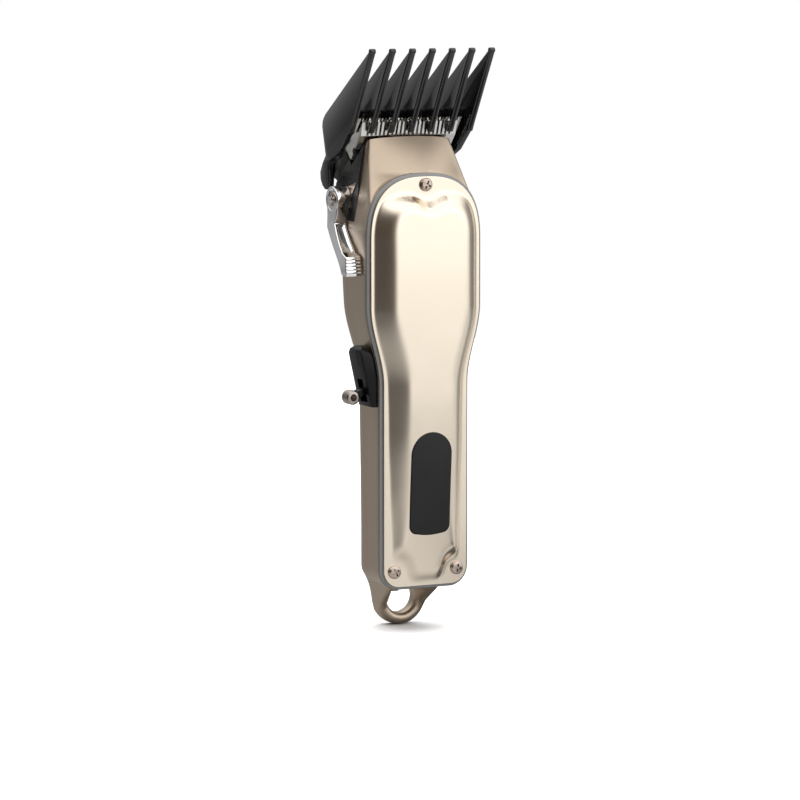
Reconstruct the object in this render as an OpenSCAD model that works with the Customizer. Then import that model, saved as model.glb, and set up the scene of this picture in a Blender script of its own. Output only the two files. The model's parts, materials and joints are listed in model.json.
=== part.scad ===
// Cordless hair clipper with a clip-on guide comb, standing on its hanging loop.
// X is to the right, Y to the back, Z up. The origin is the centre of the loop's hole.

/* [Front cover] */
// Length of the front cover
cover_len = 143; // [136:1:155]
// Width of the cover at the palm
palm_w = 42; // [39:0.5:48]
// Width of the cover at the grip
grip_w = 32.2; // [31:0.2:38]
// Thickness of the cover's sheet
cover_t = 1.2; // [0.8:0.1:1.6]
// Height of the pressed dome over the rim
dome_h = 5.4; // [4.5:0.1:6.5]
// Flat rim round the dome
rim_w = 2.2; // [1.6:0.1:3]
// Width of the dome's sloping side
slope_w = 5.4; // [4:0.2:7]
// How far the display window stands out of the dome
window_proud = 0.3; // [0.1:0.1:0.6]
// Width of the display window
window_w = 15.4; // [12:0.2:17]
// Length of the display window
window_len = 36; // [28:1:40]

/* [Housing] */
// Depth from the seam to the back at the palm
palm_depth = 32; // [30:0.5:38]
// Depth from the seam to the back at the grip
grip_depth = 26; // [25:0.5:30]
// Wall of the housing
wall = 2.2; // [1.6:0.1:2.8]
// Width of the seam trim outside the cover
trim_lip = 1.2; // [0.8:0.1:1.6]
// Thickness of the seam trim
trim_t = 1.2; // [0.8:0.1:1.6]
// Radius of the hanging loop's hole
loop_r = 5.6; // [5:0.1:5.7]
// Wall of the hanging loop
loop_wall = 4.1; // [3:0.1:5]
// Thickness of the hanging loop, front to back
loop_t = 6.5; // [5:0.1:8]
// Width of the nose's front edge
nose_w = 31.2; // [29:0.2:34]

/* [Blades] */
// Width of the fixed blade
blade_w = 41; // [39:0.5:43]
// Length of the fixed blade
blade_len = 31; // [29:0.5:33]
// Thickness of the fixed blade
blade_t = 2.6; // [2:0.1:3]
// Angle between the blade and the body's length
blade_lean = 42; // [38:1:46]
// Distance between the fixed blade's teeth
tooth_pitch = 1.25; // [1.1:0.05:1.6]
// Length of the teeth
tooth_len = 6.5; // [5:0.1:7]
// Width of the cutter
cutter_w = 37; // [35:0.5:38]
// Thickness of the cutter
cutter_t = 2.9; // [2.5:0.1:3]
// Half of the cutter's stroke
stroke = 1.2; // [0.8:0.1:1.4]
// How far the taper lever draws the cutter back
taper_travel = 1.5; // [1:0.1:1.8]

/* [Guide comb] */
// Number of fins
fin_count = 7; // [5:2:9]
// Thickness of a fin
fin_t = 2.2; // [1.6:0.1:2.6]
// How far the fin tips reach in front of the blade
fin_reach = 28.4; // [22:0.2:32]
// Height of the comb over the blade at the heel
comb_h = 14.3; // [11:0.1:16]

/* [Levers] */
// Length of the taper lever from pivot to thumb pad
lever_len = 29; // [25:0.5:32]
// Radius of the taper lever's boss
boss_r = 4.3; // [3.8:0.1:4.8]
// Swing of the taper lever
lever_swing = 40; // [30:1:45]
// Diameter of the power toggle's knob
knob_d = 5.1; // [4.4:0.1:5.6]
// Swing of the power toggle
toggle_swing = 46; // [30:1:46]

/* [Drive] */
// Diameter of the motor can
motor_d = 20; // [18:0.5:20.5]
// Length of the motor can
motor_len = 30; // [26:0.5:31]
// Diameter of the battery cell
cell_d = 18.4; // [14:0.2:18.6]
// Length of the battery cell
cell_len = 65; // [50:0.5:66]

/* [Hidden] */

fine = 64;
clear = 0.1;         // gap between pieces that only sit together
run = 0.04;          // radial gap of a shaft in its bearing
eps = 0.5;           // how far a cutting shape runs past what it cuts

// Seam and cover, along Y
seam_y = -18.8;                         // front plane of the housing
trim_y = seam_y - trim_t;               // front plane of the seam trim
face_y = trim_y - cover_t;              // front of the cover's flat rim
cover_z0 = 7;
cover_z1 = cover_z0 + cover_len;
corner_r = 6;
arch_h = 23;
arch_n = 2.6;
waist_z0 = cover_z0 + cover_len * 0.497;
waist_z1 = cover_z0 + cover_len * 0.685;

// Housing
shoulder_z = cover_z1 - 19;             // where the body starts to narrow to the nose
nose_z = cover_z1 + 13.6;               // top of the nose
nose_y = -8.2;                          // front of the nose at its top
slope_z = cover_z1 - 9;                 // where the nose starts to slope at its edges
step_z = cover_z1 - 16;                 // top of the housing behind the nose
nose_back_y = -6;                       // back of the nose above step_z
draft = 0.12;
cavity_y = -10;                         // where the cavity narrows
loop_out = loop_r + loop_wall;

// Blade frame: local Y runs from the teeth to the back of the blade, local Z out of its skin side
tip_y = -9.5;
tip_z = nose_z + 6.2;
cutter_s0 = 0.9;
cutter_s1 = 17;
blade_gap = 0.05;                       // between the cutter and the fixed blade
nose_h = -cutter_t - 0.35;              // the nose and the carrier stay under this
blade_screw = [11, 26];

// Blade carrier
cheek_in = 13.8;
cheek_out = 18.5;
carrier_z = step_z + clear;
carrier_screw = [16.1, 4];              // X and Y
pivot = [3.2, cover_z1 - 8.7];          // taper lever's axis, Y and Z

// Taper lever
shaft_r = 3.2;
cam_pin_r = 1;
cam_arm = taper_travel / (2 * sin(lever_swing / 2));
lever_x = -24.4;                        // outer face of the boss
lever_in = -18.95;                      // inner face of the boss
pad_x = [-28.6, -22.6];
lever_lean = 36;

// Power toggle
base_y = [-18.5, -8];
base_z0 = cover_z0 + 63.2;
base_z1 = base_z0 + 21.3;
base_in = -15.8;
toggle_axis = [-18.2, base_z0 + 6.3];   // X and Z
toggle_arm = 7.4;
toggle_barrel = 1.6;
toggle_rest = toggle_swing / 2;
toggle_y = [-14.7, -11.3];
knob_y = [-15.4, -10.6];

// Motor, cell and eccentric
motor_y = -5;
motor_z = cover_z1 - 58;
shaft_d = 2;
cam_z = motor_z + motor_len + 3;
cam_r = 4;
cam_h = 4;
throw = stroke;
drive_pin_r = 1.25;
cradle_w = motor_d / 2 + clear + 1.8;   // half width of the cradle's saddles
cell_y = -6.6;
cell_z = cover_z0 + 12.5;

// Screws
screw_head_r = 2.4;
screw_r = 1.3;
boss_wall = 3.2;                        // radius of the bosses that take the cover's screws
top_screw = [0, cover_z1 - 2.8];
low_screw = [grip_w / 2 - 3.9, cover_z0 + 5.4];

champagne = [0.72, 0.64, 0.54];
pale_champagne = [0.86, 0.78, 0.69];
grey = [0.45, 0.47, 0.47];
black = [0.09, 0.09, 0.1];
steel = [0.78, 0.77, 0.76];
chrome = [0.85, 0.86, 0.88];
green = [0.1, 0.35, 0.2];
copper = [0.72, 0.42, 0.25];
brass = [0.78, 0.62, 0.3];

// ---- helpers ----

function clamp01(t) = min(1, max(0, t));
function smooth(t) = let (u = clamp01(t)) u * u * (3 - 2 * u);

// Half width of the cover's outline grown by m, at height z
function outline_half(z, m) =
    let (z0 = cover_z0 - m, z1 = cover_z1 + m, r = corner_r + m,
         side = grip_w / 2 + m + (palm_w - grip_w) / 2 * smooth((z - waist_z0) / (waist_z1 - waist_z0)),
         b = arch_h + m, up = clamp01((z - z1 + b) / b), down = clamp01((z0 + r - z) / r))
    z > z1 - b ? side * pow(max(0, 1 - pow(up, arch_n)), 1 / arch_n)
               : side - r + sqrt(max(0, r * r - r * r * down * down));

// Heights that follow the round ends closely
function outline_heights(m) =
    let (z0 = cover_z0 - m, z1 = cover_z1 + m, r = corner_r + m, b = arch_h + m)
    [for (a = [0:22.5:67.5]) z0 + r - r * cos(a),
     for (k = [0:10]) z0 + r + (z1 - b - z0 - r) * k / 10,
     for (t = [0.3, 0.55, 0.74, 0.88, 0.96, 0.995]) z1 - b + b * t];

module outline(m) {
    zs = outline_heights(m);
    n = len(zs);
    polygon([for (z = zs) [outline_half(z, m), z],
             for (i = [0:n - 1]) [-outline_half(zs[n - 1 - i], m), zs[n - 1 - i]]]);
}

// Extrudes a shape drawn in X and Z along Y, or one drawn in Y and Z along X
module along_y(y0, y1) {
    translate([0, y1, 0]) rotate([90, 0, 0]) linear_extrude(y1 - y0) children();
}
module along_x(x0, x1) {
    translate([x0, 0, 0]) rotate([90, 0, 90]) linear_extrude(x1 - x0) children();
}
module box(low, high) { translate(low) cube(high - low); }
module rod_y(x, z, r, y0, y1) {
    translate([x, y0, z]) rotate([-90, 0, 0]) cylinder(r = r, h = y1 - y0, $fn = fine);
}
module rod_x(y, z, r, x0, x1) {
    translate([x0, y, z]) rotate([0, 90, 0]) cylinder(r = r, h = x1 - x0, $fn = fine);
}
module on_blade() {
    translate([0, tip_y, tip_z]) rotate([blade_lean - 90, 0, 0]) children();
}
module two_sides() {
    children();
    mirror([1, 0, 0]) children();
}

// A closed skin over rings of points, each ring with the same number of points.
// A sheet's rings run out along one face and back along the other, so their ends close as strips.
module skin(rings, sheet = false) {
    n = len(rings[0]);
    m = len(rings);
    top = (m - 1) * n;
    ends = sheet ? [for (j = [0:n / 2 - 2], c = [0:3])
                        let (q = [j, j + 1, n - 2 - j, n - 1 - j])
                        c == 0 ? [q[0], q[1], q[2]] : c == 1 ? [q[0], q[2], q[3]]
                        : c == 2 ? [top + q[2], top + q[1], top + q[0]] : [top + q[3], top + q[2], top + q[0]]]
                 : [[for (j = [0:n - 1]) j], [for (j = [0:n - 1]) top + n - 1 - j]];
    polyhedron(points = [for (ring = rings) each ring],
               faces = [each ends,
                        for (i = [0:m - 2], j = [0:n - 1])
                            let (a = i * n + j, b = i * n + (j + 1) % n)
                            each [[a, a + n, b + n], [a, b + n, b]]]);
}

// ---- housing ----

function body_half(z) =
    z < shoulder_z ? outline_half(min(z, shoulder_z - 4), trim_lip)
                   : palm_w / 2 + trim_lip
                     - (palm_w / 2 + trim_lip - nose_w / 2) * (z - shoulder_z) / (nose_z - shoulder_z);
function back_y(z) =
    let (round_end = clamp01((cover_z0 - trim_lip + 6 - z) / 6),
         swell = smooth((z - cover_z0 - 70) / 45), lean = clamp01((z - cover_z0 - 15) / 65))
    seam_y + grip_depth - 1.2 + 1.7 * lean + (palm_depth - grip_depth - 0.5) * swell
    - 6 * (1 - sqrt(1 - round_end * round_end));
function front_y(u, z) =
    let (edge = seam_y + (nose_y - seam_y) * clamp01((z - slope_z) / (nose_z - slope_z)),
         middle = seam_y + (nose_y - 0.5 - seam_y)
                  * clamp01((z - cover_z1 - trim_lip) / (nose_z - cover_z1 - trim_lip)))
    edge + (middle - edge) * (1 - u * u);

// One level of the housing, from the middle of its round back, round its drafted sides and its front
function body_ring(z) =
    let (w = body_half(z), yb = back_y(z), fy = front_y(1, z), ys = min(yb - 6, max(fy + 2, yb - 14)),
         wr = w - draft * (ys - fy), e = 2 / 2.7,
         back = [for (a = [0:22.5:180])
                     [wr * sign(cos(a)) * pow(abs(cos(a)), e), ys + (yb - ys) * pow(sin(a), e), z]])
    [for (i = [4:8]) back[i],
     for (u = [-1, -0.5, 0, 0.5, 1]) [w * u, front_y(u, z), z],
     for (i = [0:3]) back[i]];

module body_block() {
    foot = cover_z0 - trim_lip;
    zs = [for (d = [0, 0.6, 2, 4.4, 8]) foot + d,
          for (k = [1:8]) foot + 8 + (shoulder_z - 8 - foot) * k / 8,
          for (k = [1:4]) shoulder_z + (nose_z + 2 - shoulder_z) * k / 4];
    skin([for (z = zs) body_ring(z)]);
    // Land that carries the seam trim round the cover's arch
    along_y(seam_y, seam_y + 4) intersection() {
        outline(-1);
        translate([-palm_w, shoulder_z + 5]) square([2 * palm_w, arch_h]);
    }
}

module loop_plate() {
    along_y(-loop_t / 2, loop_t / 2) {
        circle(r = loop_out, $fn = fine);
        polygon([[-13.6, 10], [-13, 7.6], [-loop_out * 0.93, -loop_out * 0.37],
                 [loop_out * 0.93, -loop_out * 0.37], [13, 7.6], [13.6, 10]]);
    }
}

// Front view of the cavity, inset from the housing's side
module cavity_shape(inset) {
    zs = [for (k = [0:8]) cover_z0 + 3 + (shoulder_z - cover_z0 - 2) * k / 8];
    n = len(zs);
    polygon([for (z = zs) [body_half(z) - inset, z],
             for (i = [0:n - 1]) [inset - body_half(zs[n - 1 - i]), zs[n - 1 - i]]]);
}

module housing_bosses() {
    rod_y(top_screw[0], top_screw[1], boss_wall, seam_y, seam_y + 8);
    for (s = [-1, 1])
        rod_y(s * low_screw[0], low_screw[1], boss_wall, seam_y, seam_y + 12);
}

module housing() {
    color(champagne) difference() {
        union() {
            difference() {
                union() {
                    body_block();
                    loop_plate();
                }
                along_y(seam_y - eps, cavity_y) cavity_shape(wall + 1);
                along_y(cavity_y - eps, back_y(cover_z0 + 20) - wall) cavity_shape(wall + 4.8);
                // Room for the motor, deeper than the grip's cavity
                box([-motor_d / 2 - 0.6, cavity_y - 1, motor_z - 12],
                    [motor_d / 2 + 0.6, motor_y + motor_d / 2 + 0.6, shoulder_z + 1]);
                box([-cradle_w - clear, cavity_y - 2, motor_z + 2.6],
                    [cradle_w + clear, motor_y + motor_d / 2 + 0.6, motor_z + motor_len - 2.6]);
                box([-cradle_w - 3.4, cavity_y - 3, motor_z + 2.2],
                    [cradle_w + 3.4, motor_y + 1.1, motor_z + motor_len - 2.2]);
                // Inside of the nose, down to the open back
                along_x(-cheek_in - clear, cheek_in + clear)
                    polygon([[seam_y + wall + 1, shoulder_z - 1], [seam_y + wall + 1, slope_z],
                             [nose_y + 1.5, nose_z + 1], [20, nose_z + 1], [20, shoulder_z - 1]]);
                // The carrier and the blades take the place behind and above the nose
                box([-30, nose_back_y, step_z], [30, 30, nose_z + 5]);
                on_blade() box([-30, -30, nose_h], [30, 40, 30]);
            }
            housing_bosses();
        }
        rod_y(0, 0, loop_r, -loop_t / 2 - 0.01, loop_t / 2 + 0.01);
        rod_y(top_screw[0], top_screw[1], screw_r, seam_y - eps, seam_y + 7);
        for (s = [-1, 1])
            rod_y(s * low_screw[0], low_screw[1], screw_r, seam_y - eps, seam_y + 9);
        for (s = [-1, 1]) translate([s * carrier_screw[0], carrier_screw[1], step_z - 1.7]) cylinder(r = 0.8, h = 3, $fn = fine);
        socket_hole(clear);
        switch_pocket(clear);
    }
}

// ---- cover ----

function low_slope(z) = clamp01((z - cover_z0 - 1) / 55);
function dome_height(z) = 1.2 + (dome_h - 1.2) * low_slope(z);
function edge_distance(x, z) =
    let (z0 = cover_z1 - arch_h, rho = pow(pow(abs(x) / (palm_w / 2), arch_n)
                                           + pow(max(0, z - z0) / arch_h, arch_n), 1 / arch_n))
    z > z0 ? (1 - rho) * palm_w / 2 : outline_half(max(z, cover_z0 + corner_r), 0) - abs(x);
function dome(x, z) =
    let (soft = 2.6 + (slope_w - 2.6) * smooth((z - cover_z0 - 8) / 22),
         sides = edge_distance(x, z) - rim_w,
         top_notch = norm([x, z - top_screw[1]]) - 4.6,
         low_notch = norm([abs(x) - low_screw[0], z - low_screw[1]]) - 5.6,
         d = min(sides, top_notch, low_notch, z - cover_z0 - 2.4))
    dome_height(z) * smooth(d / soft);

module cover_sheet() {
    us = [-1, -0.87, -0.78, -0.68, -0.55, 0, 0.55, 0.68, 0.78, 0.87, 1];
    n = len(us);
    skin([for (z = outline_heights(0))
              let (w = outline_half(z, 0))
              [for (u = us) [w * u, face_y - dome(w * u, z), z],
               for (i = [0:n - 1]) let (u = us[n - 1 - i]) [w * u, trim_y - dome(w * u, z), z]]], sheet = true);
}

// Outline of the window in X and Z, about the middle of its lower edge
module window_shape(grow) {
    r = window_w / 2 + grow;
    low_r = 3 + grow;
    translate([0, window_len - window_w / 2]) circle(r = r, $fn = fine);
    translate([-r, 3]) square([2 * r, window_len - window_w / 2 - 3]);
    translate([-window_w / 2 + 3, -grow]) square([window_w - 6, 3 + 2 * grow]);
    for (s = [-1, 1]) translate([s * (window_w / 2 - 3), 3]) circle(r = low_r, $fn = fine);
}
window_z = cover_z0 + 18.3;
window_tilt = atan((dome_h - 1.2) / 55);
module at_window() {
    translate([0, face_y - dome_height(window_z), window_z]) rotate([window_tilt, 0, 0]) children();
}

module front_cover() {
    color(pale_champagne) difference() {
        cover_sheet();
        rod_y(top_screw[0], top_screw[1], screw_r + 0.2, face_y - 3, trim_y + 1);
        for (s = [-1, 1]) rod_y(s * low_screw[0], low_screw[1], screw_r + 0.2, face_y - 3, trim_y + 1);
        // Flat seats for the screw heads
        rod_y(top_screw[0], top_screw[1], screw_head_r + 0.5, face_y - 3, face_y);
        for (s = [-1, 1]) rod_y(s * low_screw[0], low_screw[1], screw_head_r + 0.5, face_y - 3, face_y);
        at_window() along_y(-2, 4) window_shape(clear);
    }
}

module display_window() {
    color(black) at_window() along_y(-window_proud, cover_t + 0.3) window_shape(0);
}

module seam_trim() {
    color(grey) difference() {
        along_y(trim_y, seam_y) outline(trim_lip);
        along_y(trim_y - eps, seam_y + eps) outline(-3.4);
        rod_y(top_screw[0], top_screw[1], screw_r + 0.2, face_y, seam_y + 1);
        for (s = [-1, 1]) rod_y(s * low_screw[0], low_screw[1], screw_r + 0.2, face_y, seam_y + 1);
    }
}

// Pan-head screw along +Y with a cross recess, its head's seat at the origin
module pan_screw(head_r, shank_r, len, head_h) {
    difference() {
        rotate([90, 0, 0]) rotate_extrude($fn = fine)
            polygon([[0, -len], [shank_r, -len], [shank_r, 0], [head_r, 0], [head_r, head_h * 0.45],
                     for (a = [20:20:80]) [head_r * (0.25 + 0.75 * cos(a)), head_h * (0.45 + 0.55 * sin(a))],
                     [0, head_h]]);
        for (a = [25, 115])
            translate([0, -head_h, 0]) rotate([0, a, 0])
                cube([head_r * 1.15, head_h * 1.1, head_r * 0.28], center = true);
    }
}
module cover_screws() {
    color(chrome) {
        translate([top_screw[0], face_y, top_screw[1]])
            pan_screw(screw_head_r, screw_r - 0.02, face_y * -1 + seam_y + 6, 1.1);
        for (s = [-1, 1]) translate([s * low_screw[0], face_y, low_screw[1]])
            pan_screw(screw_head_r, screw_r - 0.02, face_y * -1 + seam_y + 8, 1.1);
    }
}

// ---- electrics ----

board_t = 1;
board_y = trim_y - 0.6;
module display_board() {
    color(green) box([-6.5, board_y, window_z + 1], [6.5, board_y + board_t, window_z + 32]);
}
module display_leds() {
    color([0.9, 0.9, 0.85]) for (k = [0:3])
        box([-1.5, board_y - 0.8, window_z + 5.5 + 6 * k], [1.5, board_y, window_z + 7 + 6 * k]);
}
module battery_cell() {
    color([0.2, 0.35, 0.6]) {
        translate([0, cell_y, cell_z]) cylinder(d = cell_d, h = cell_len, $fn = fine);
        translate([0, cell_y, cell_z + cell_len]) cylinder(d = 6, h = 1, $fn = fine);
    }
}
module battery_contacts() {
    color(steel) {
        box([-3, cell_y - 3, cell_z - 0.7], [3, cell_y + 3, cell_z - 0.3]);
        translate([0, cell_y, cell_z - 0.3]) cylinder(r = 1.6, h = 0.3, $fn = fine);
        box([-3, cell_y - 3, cell_z + cell_len + 1], [3, cell_y + 3, cell_z + cell_len + 1.4]);
    }
}
socket_w = 9;
socket_t = 3.2;
socket_y = -11;
socket_z = cover_z0 - trim_lip + 0.3;
module socket_prism(grow, z0, z1) {
    r = socket_t / 2 + grow;
    translate([0, socket_y, z0]) linear_extrude(z1 - z0) {
        square([socket_w - socket_t, 2 * r], center = true);
        for (s = [-1, 1]) translate([s * (socket_w - socket_t) / 2, 0]) circle(r = r, $fn = fine);
    }
}
module socket_hole(grow) { socket_prism(grow, socket_z - 3, cover_z0 + 4); }
module charging_socket() {
    color(steel) {
        difference() {
            socket_prism(0, socket_z, socket_z + 7);
            socket_prism(-0.35, socket_z - 1, socket_z + 6.2);
        }
        box([-3, socket_y - 0.35, socket_z + 1], [3, socket_y + 0.35, socket_z + 6.4]);
    }
}
board_z = socket_z + 7;
board_w = low_screw[0] - boss_wall - 0.3;
module control_board() {
    z = board_z + 1.2;
    color(green) box([-board_w, -16.8, board_z], [board_w, cell_y + 8, z]);
    color(black) {
        box([-2, cell_y - 6, z], [3, cell_y - 1, z + 1.2]);
        box([-6, cell_y, z], [-2, cell_y + 5, z + 1.4]);
    }
}

// A lead that runs through a list of points
module lead(points, r) {
    for (i = [0:len(points) - 2]) {
        v = points[i + 1] - points[i];
        translate(points[i]) rotate([0, acos(v[2] / norm(v)), atan2(v[1], v[0])])
            cylinder(r = r, h = norm(v), $fn = 24);
    }
    for (i = [1:len(points) - 2]) translate(points[i]) sphere(r = r * 1.08, $fn = 24);
}
lead_r = 0.55;
module motor_leads() {
    start_z = motor_z - 1.25;
    over_z = cell_z + cell_len + 2.6;
    color("red") {
        lead([[4, motor_y - 4, start_z], [4, motor_y - 4, over_z], [cell_d / 2 + 2.2, -15.8, over_z - 1.6],
              [cell_d / 2 + 2.2, -15.8, board_z + 6], [board_w - 1.6, -14.8, board_z + 3.4],
              [board_w - 1.6, -14.8, board_z + 1.25]], lead_r);
        lead([[-4, motor_y - 4, start_z], [-4, motor_y - 4, over_z], [-11.8, -13.6, over_z - 1],
              [-11.8, -13.6, base_z0 + 12.1]], lead_r);
        lead([[-11.8, -13.6, base_z0 + 0.75], [-cell_d / 2 - 3.6, -12.6, base_z0 - 3],
              [-cell_d / 2 - 3.6, -12.6, board_z + 6], [-board_w + 1, -12, board_z + 3.4],
              [-board_w + 1, -12, board_z + 1.25]], lead_r);
    }
}
module battery_leads() {
    top_z = cell_z + cell_len + 1.2;
    color("black") {
        lead([[-1.6, cell_y - 3.6, top_z], [-cell_d / 2 + 1.2, -16.2, top_z - 0.2],
              [-cell_d / 2 - 2.3, -16.2, top_z - 3], [-cell_d / 2 - 2.3, -16.2, board_z + 6],
              [-board_w + 1, -15.2, board_z + 3.4], [-board_w + 1, -15.2, board_z + 1.25]], lead_r);
        lead([[-1.6, cell_y - 3.6, cell_z - 0.6], [-3.4, -15.2, cell_z - 2.2],
              [-3.4, -15.2, board_z + 1.25]], lead_r);
    }
}

// ---- motor ----

can_wall = 1;
module motor_can() {
    color(steel) translate([0, motor_y, motor_z]) difference() {
        union() {
            cylinder(d = motor_d, h = motor_len, $fn = fine);
            translate([0, 0, motor_len]) cylinder(d = 6, h = 1.4, $fn = fine);
        }
        translate([0, 0, -eps]) cylinder(d = motor_d - 2 * can_wall, h = motor_len - can_wall + eps, $fn = fine);
        cylinder(r = 2, h = motor_len + 3, $fn = fine);
    }
}
module motor_end_cap() {
    color(black) translate([0, motor_y, motor_z]) difference() {
        union() {
            translate([0, 0, -1.2]) cylinder(d = motor_d, h = 1.2, $fn = fine);
            cylinder(d = motor_d - 2 * can_wall - 2 * clear, h = 2.4, $fn = fine);
            translate([0, 0, -2.4]) cylinder(d = 6, h = 2, $fn = fine);
        }
        translate([0, 0, -1.6]) cylinder(r = 2, h = 5, $fn = fine);
    }
}
module motor_bushes() {
    color(brass) for (z = [motor_z - 1.6, motor_z + motor_len - 1.6])
        translate([0, motor_y, z]) difference() {
            cylinder(r = 2, h = 3, $fn = fine);
            translate([0, 0, -1]) cylinder(d = shaft_d + 2 * run, h = 5, $fn = fine);
        }
}
module motor_magnets() {
    r1 = motor_d / 2 - can_wall - 0.02;
    r0 = r1 - 1.6;
    color(grey) translate([0, motor_y, motor_z + 5]) difference() {
        cylinder(r = r1, h = 20, $fn = fine);
        translate([0, 0, -1]) cylinder(r = r0, h = 22, $fn = fine);
        box([-20, -4, -1], [20, 4, 22]);
    }
}
module motor_armature() {
    color(copper) translate([0, motor_y, motor_z + 6]) difference() {
        union() {
            cylinder(r = motor_d / 2 - can_wall - 2.2, h = 18, $fn = fine);
            translate([0, 0, -2.6]) cylinder(r = 3, h = 2.6, $fn = fine);
        }
        translate([0, 0, -3]) cylinder(d = shaft_d, h = 22, $fn = fine);
        for (a = [0, 120, 240]) rotate([0, 0, a]) box([3.4, -0.6, -1], [9, 0.6, 19]);
    }
}
module motor_shaft() {
    color(steel) translate([0, motor_y, motor_z - 1.2]) cylinder(d = shaft_d, h = cam_z - motor_z + 1.2 + cam_h - 1, $fn = fine);
}
module eccentric_cam() {
    color(brass) translate([0, motor_y, cam_z]) difference() {
        union() {
            cylinder(r = cam_r, h = cam_h, $fn = fine);
            translate([0, -throw, cam_h]) cylinder(r = drive_pin_r, h = 6, $fn = fine);
        }
        translate([0, 0, -1]) cylinder(d = shaft_d, h = cam_h, $fn = fine);
    }
}
module motor_cradle() {
    r = motor_d / 2 + clear;
    w = cradle_w;
    color(black) difference() {
        union() {
            for (z = [motor_z + 3, motor_z + motor_len - 8])
                box([-w, motor_y - 2, z], [w, motor_y + r + 0.4, z + 5]);
            for (s = [-1, 1])
                box([s * (w - 1) - 1, motor_y - 2, motor_z + 3], [s * (w - 1) + 1, motor_y + 1, motor_z + motor_len - 3]);
            for (s = [-1, 1], z = [motor_z + 3, motor_z + motor_len - 8])
                box([s * (w + 1.4) - 1.8, motor_y - 2, z], [s * (w + 1.4) + 1.8, motor_y + 0.2, z + 5]);
        }
        translate([0, motor_y, motor_z]) cylinder(r = r, h = motor_len, $fn = fine);
        for (s = [-1, 1], z = [motor_z + 5.5, motor_z + motor_len - 5.5])
            rod_y(s * (w + 1.6), z, 0.8, motor_y - 4, motor_y + 4);
    }
}
module cradle_screws() {
    w = cradle_w;
    color(steel) for (s = [-1, 1], z = [motor_z + 5.5, motor_z + motor_len - 5.5])
        translate([s * (w + 1.6), motor_y - 2, z]) pan_screw(1.5, 0.78, 2.1, 0.9);
}

// ---- blades ----

module blade_screw_places() {
    for (s = [-1, 1]) translate([s * blade_screw[0], blade_screw[1], 0]) children();
}
module fixed_blade() {
    n = floor((blade_w - 3) / 2 / tooth_pitch);
    color(steel) on_blade() difference() {
        along_x(-blade_w / 2, blade_w / 2)
            polygon([[0, 0], [0.1, 0.35], [tooth_len + 1.5, blade_t], [blade_len, blade_t], [blade_len, 0]]);
        for (k = [-n:n]) box([k * tooth_pitch - 0.3, -1, -1], [k * tooth_pitch + 0.3, tooth_len, 5]);
        for (s = [-1, 1]) translate([s * blade_w / 2, blade_len, -1]) rotate([0, 0, 45])
            cube([4, 4, 12], center = true);
        blade_screw_places() translate([0, 0, -1]) cylinder(r = 1.7, h = 6, $fn = fine);
    }
}
module blade_screws() {
    color(steel) on_blade() blade_screw_places()
        translate([0, 0, blade_t]) rotate([-90, 0, 0]) pan_screw(2.8, 1.45, blade_t + 3, 1.5);
}
module cutter_blade() {
    pitch = tooth_pitch * 1.28;
    n = floor((cutter_w - 2) / 2 / pitch);
    color(steel) on_blade() difference() {
        along_x(-cutter_w / 2, cutter_w / 2)
            polygon([[cutter_s0, -blade_gap], [cutter_s0, -0.9], [5.5, -cutter_t], [cutter_s1, -cutter_t],
                     [cutter_s1, -blade_gap]]);
        for (k = [-n:n]) box([k * pitch - 0.42, -1, -5], [k * pitch + 0.42, 5.4, 0]);
        // Groove that the carriage's lugs run in
        box([-20, 11.9, -cutter_t - 1], [20, 14.1, -1.5]);
    }
}
arm_y = motor_y;
fork_z0 = cam_z + cam_h + 1.4;
fork_z1 = fork_z0 + 6;
fork_in = drive_pin_r + throw + stroke + 0.5;
module drive_arm() {
    color(black) difference() {
        union() {
            box([-fork_in - 1.8, arm_y - 4.4, fork_z0], [fork_in + 1.8, arm_y + 4.6, fork_z1 + 2]);
            box([-3, arm_y - 1.8, fork_z1], [3, arm_y + 1.8, nose_z]);
            on_blade() box([-6, 8.2, -cutter_t - 2], [6, 11.6, -cutter_t]);
        }
        box([-fork_in, arm_y - 6, fork_z0 - 1], [fork_in, arm_y + 6, fork_z1]);
        on_blade() box([-10, -20, -cutter_t], [10, 30, 20]);
    }
}
carriage_out = cheek_in - 0.2;
module taper_carriage() {
    p = [blade_s(pivot), blade_h(pivot)];
    rest = lever_swing / 2;
    pin = [p[0] - cam_arm * sin(rest), p[1] - cam_arm * cos(rest)];
    slot_w = 2 * cam_pin_r + 0.24;
    color(black) on_blade() difference() {
        union() {
            for (s = [-1, 1]) {
                along_x(s * (carriage_out - 1) - 1, s * (carriage_out - 1) + 1)
                    polygon([[10.8, -cutter_t - 0.3], [15.2, -cutter_t - 0.3], [24, -4.8], [p[0] + 3.2, -7],
                             [p[0] + 3.2, p[1] - 4.6], [p[0] - 3.6, p[1] - 4.6], [p[0] - 3.6, -8.8], [10.8, -6]]);
                box([s * 10.4 - 3.2, 12, -5.4], [s * 10.4 + 3.2, 14, -1.55]);
            }
            box([-carriage_out, 19.5, -6.8], [carriage_out, 22.5, -4.6]);
        }
        for (s = [-1, 1])
            box([s * (carriage_out - 1) - 2, pin[0] - slot_w / 2, pin[1] - cam_pin_r - 0.5],
                [s * (carriage_out - 1) + 2, pin[0] + slot_w / 2, pin[1] + cam_pin_r + 0.5]);
    }
}
function blade_s(p) = (p[0] - tip_y) * sin(blade_lean) - (p[1] - tip_z) * cos(blade_lean);
function blade_h(p) = (p[0] - tip_y) * cos(blade_lean) + (p[1] - tip_z) * sin(blade_lean);

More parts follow.
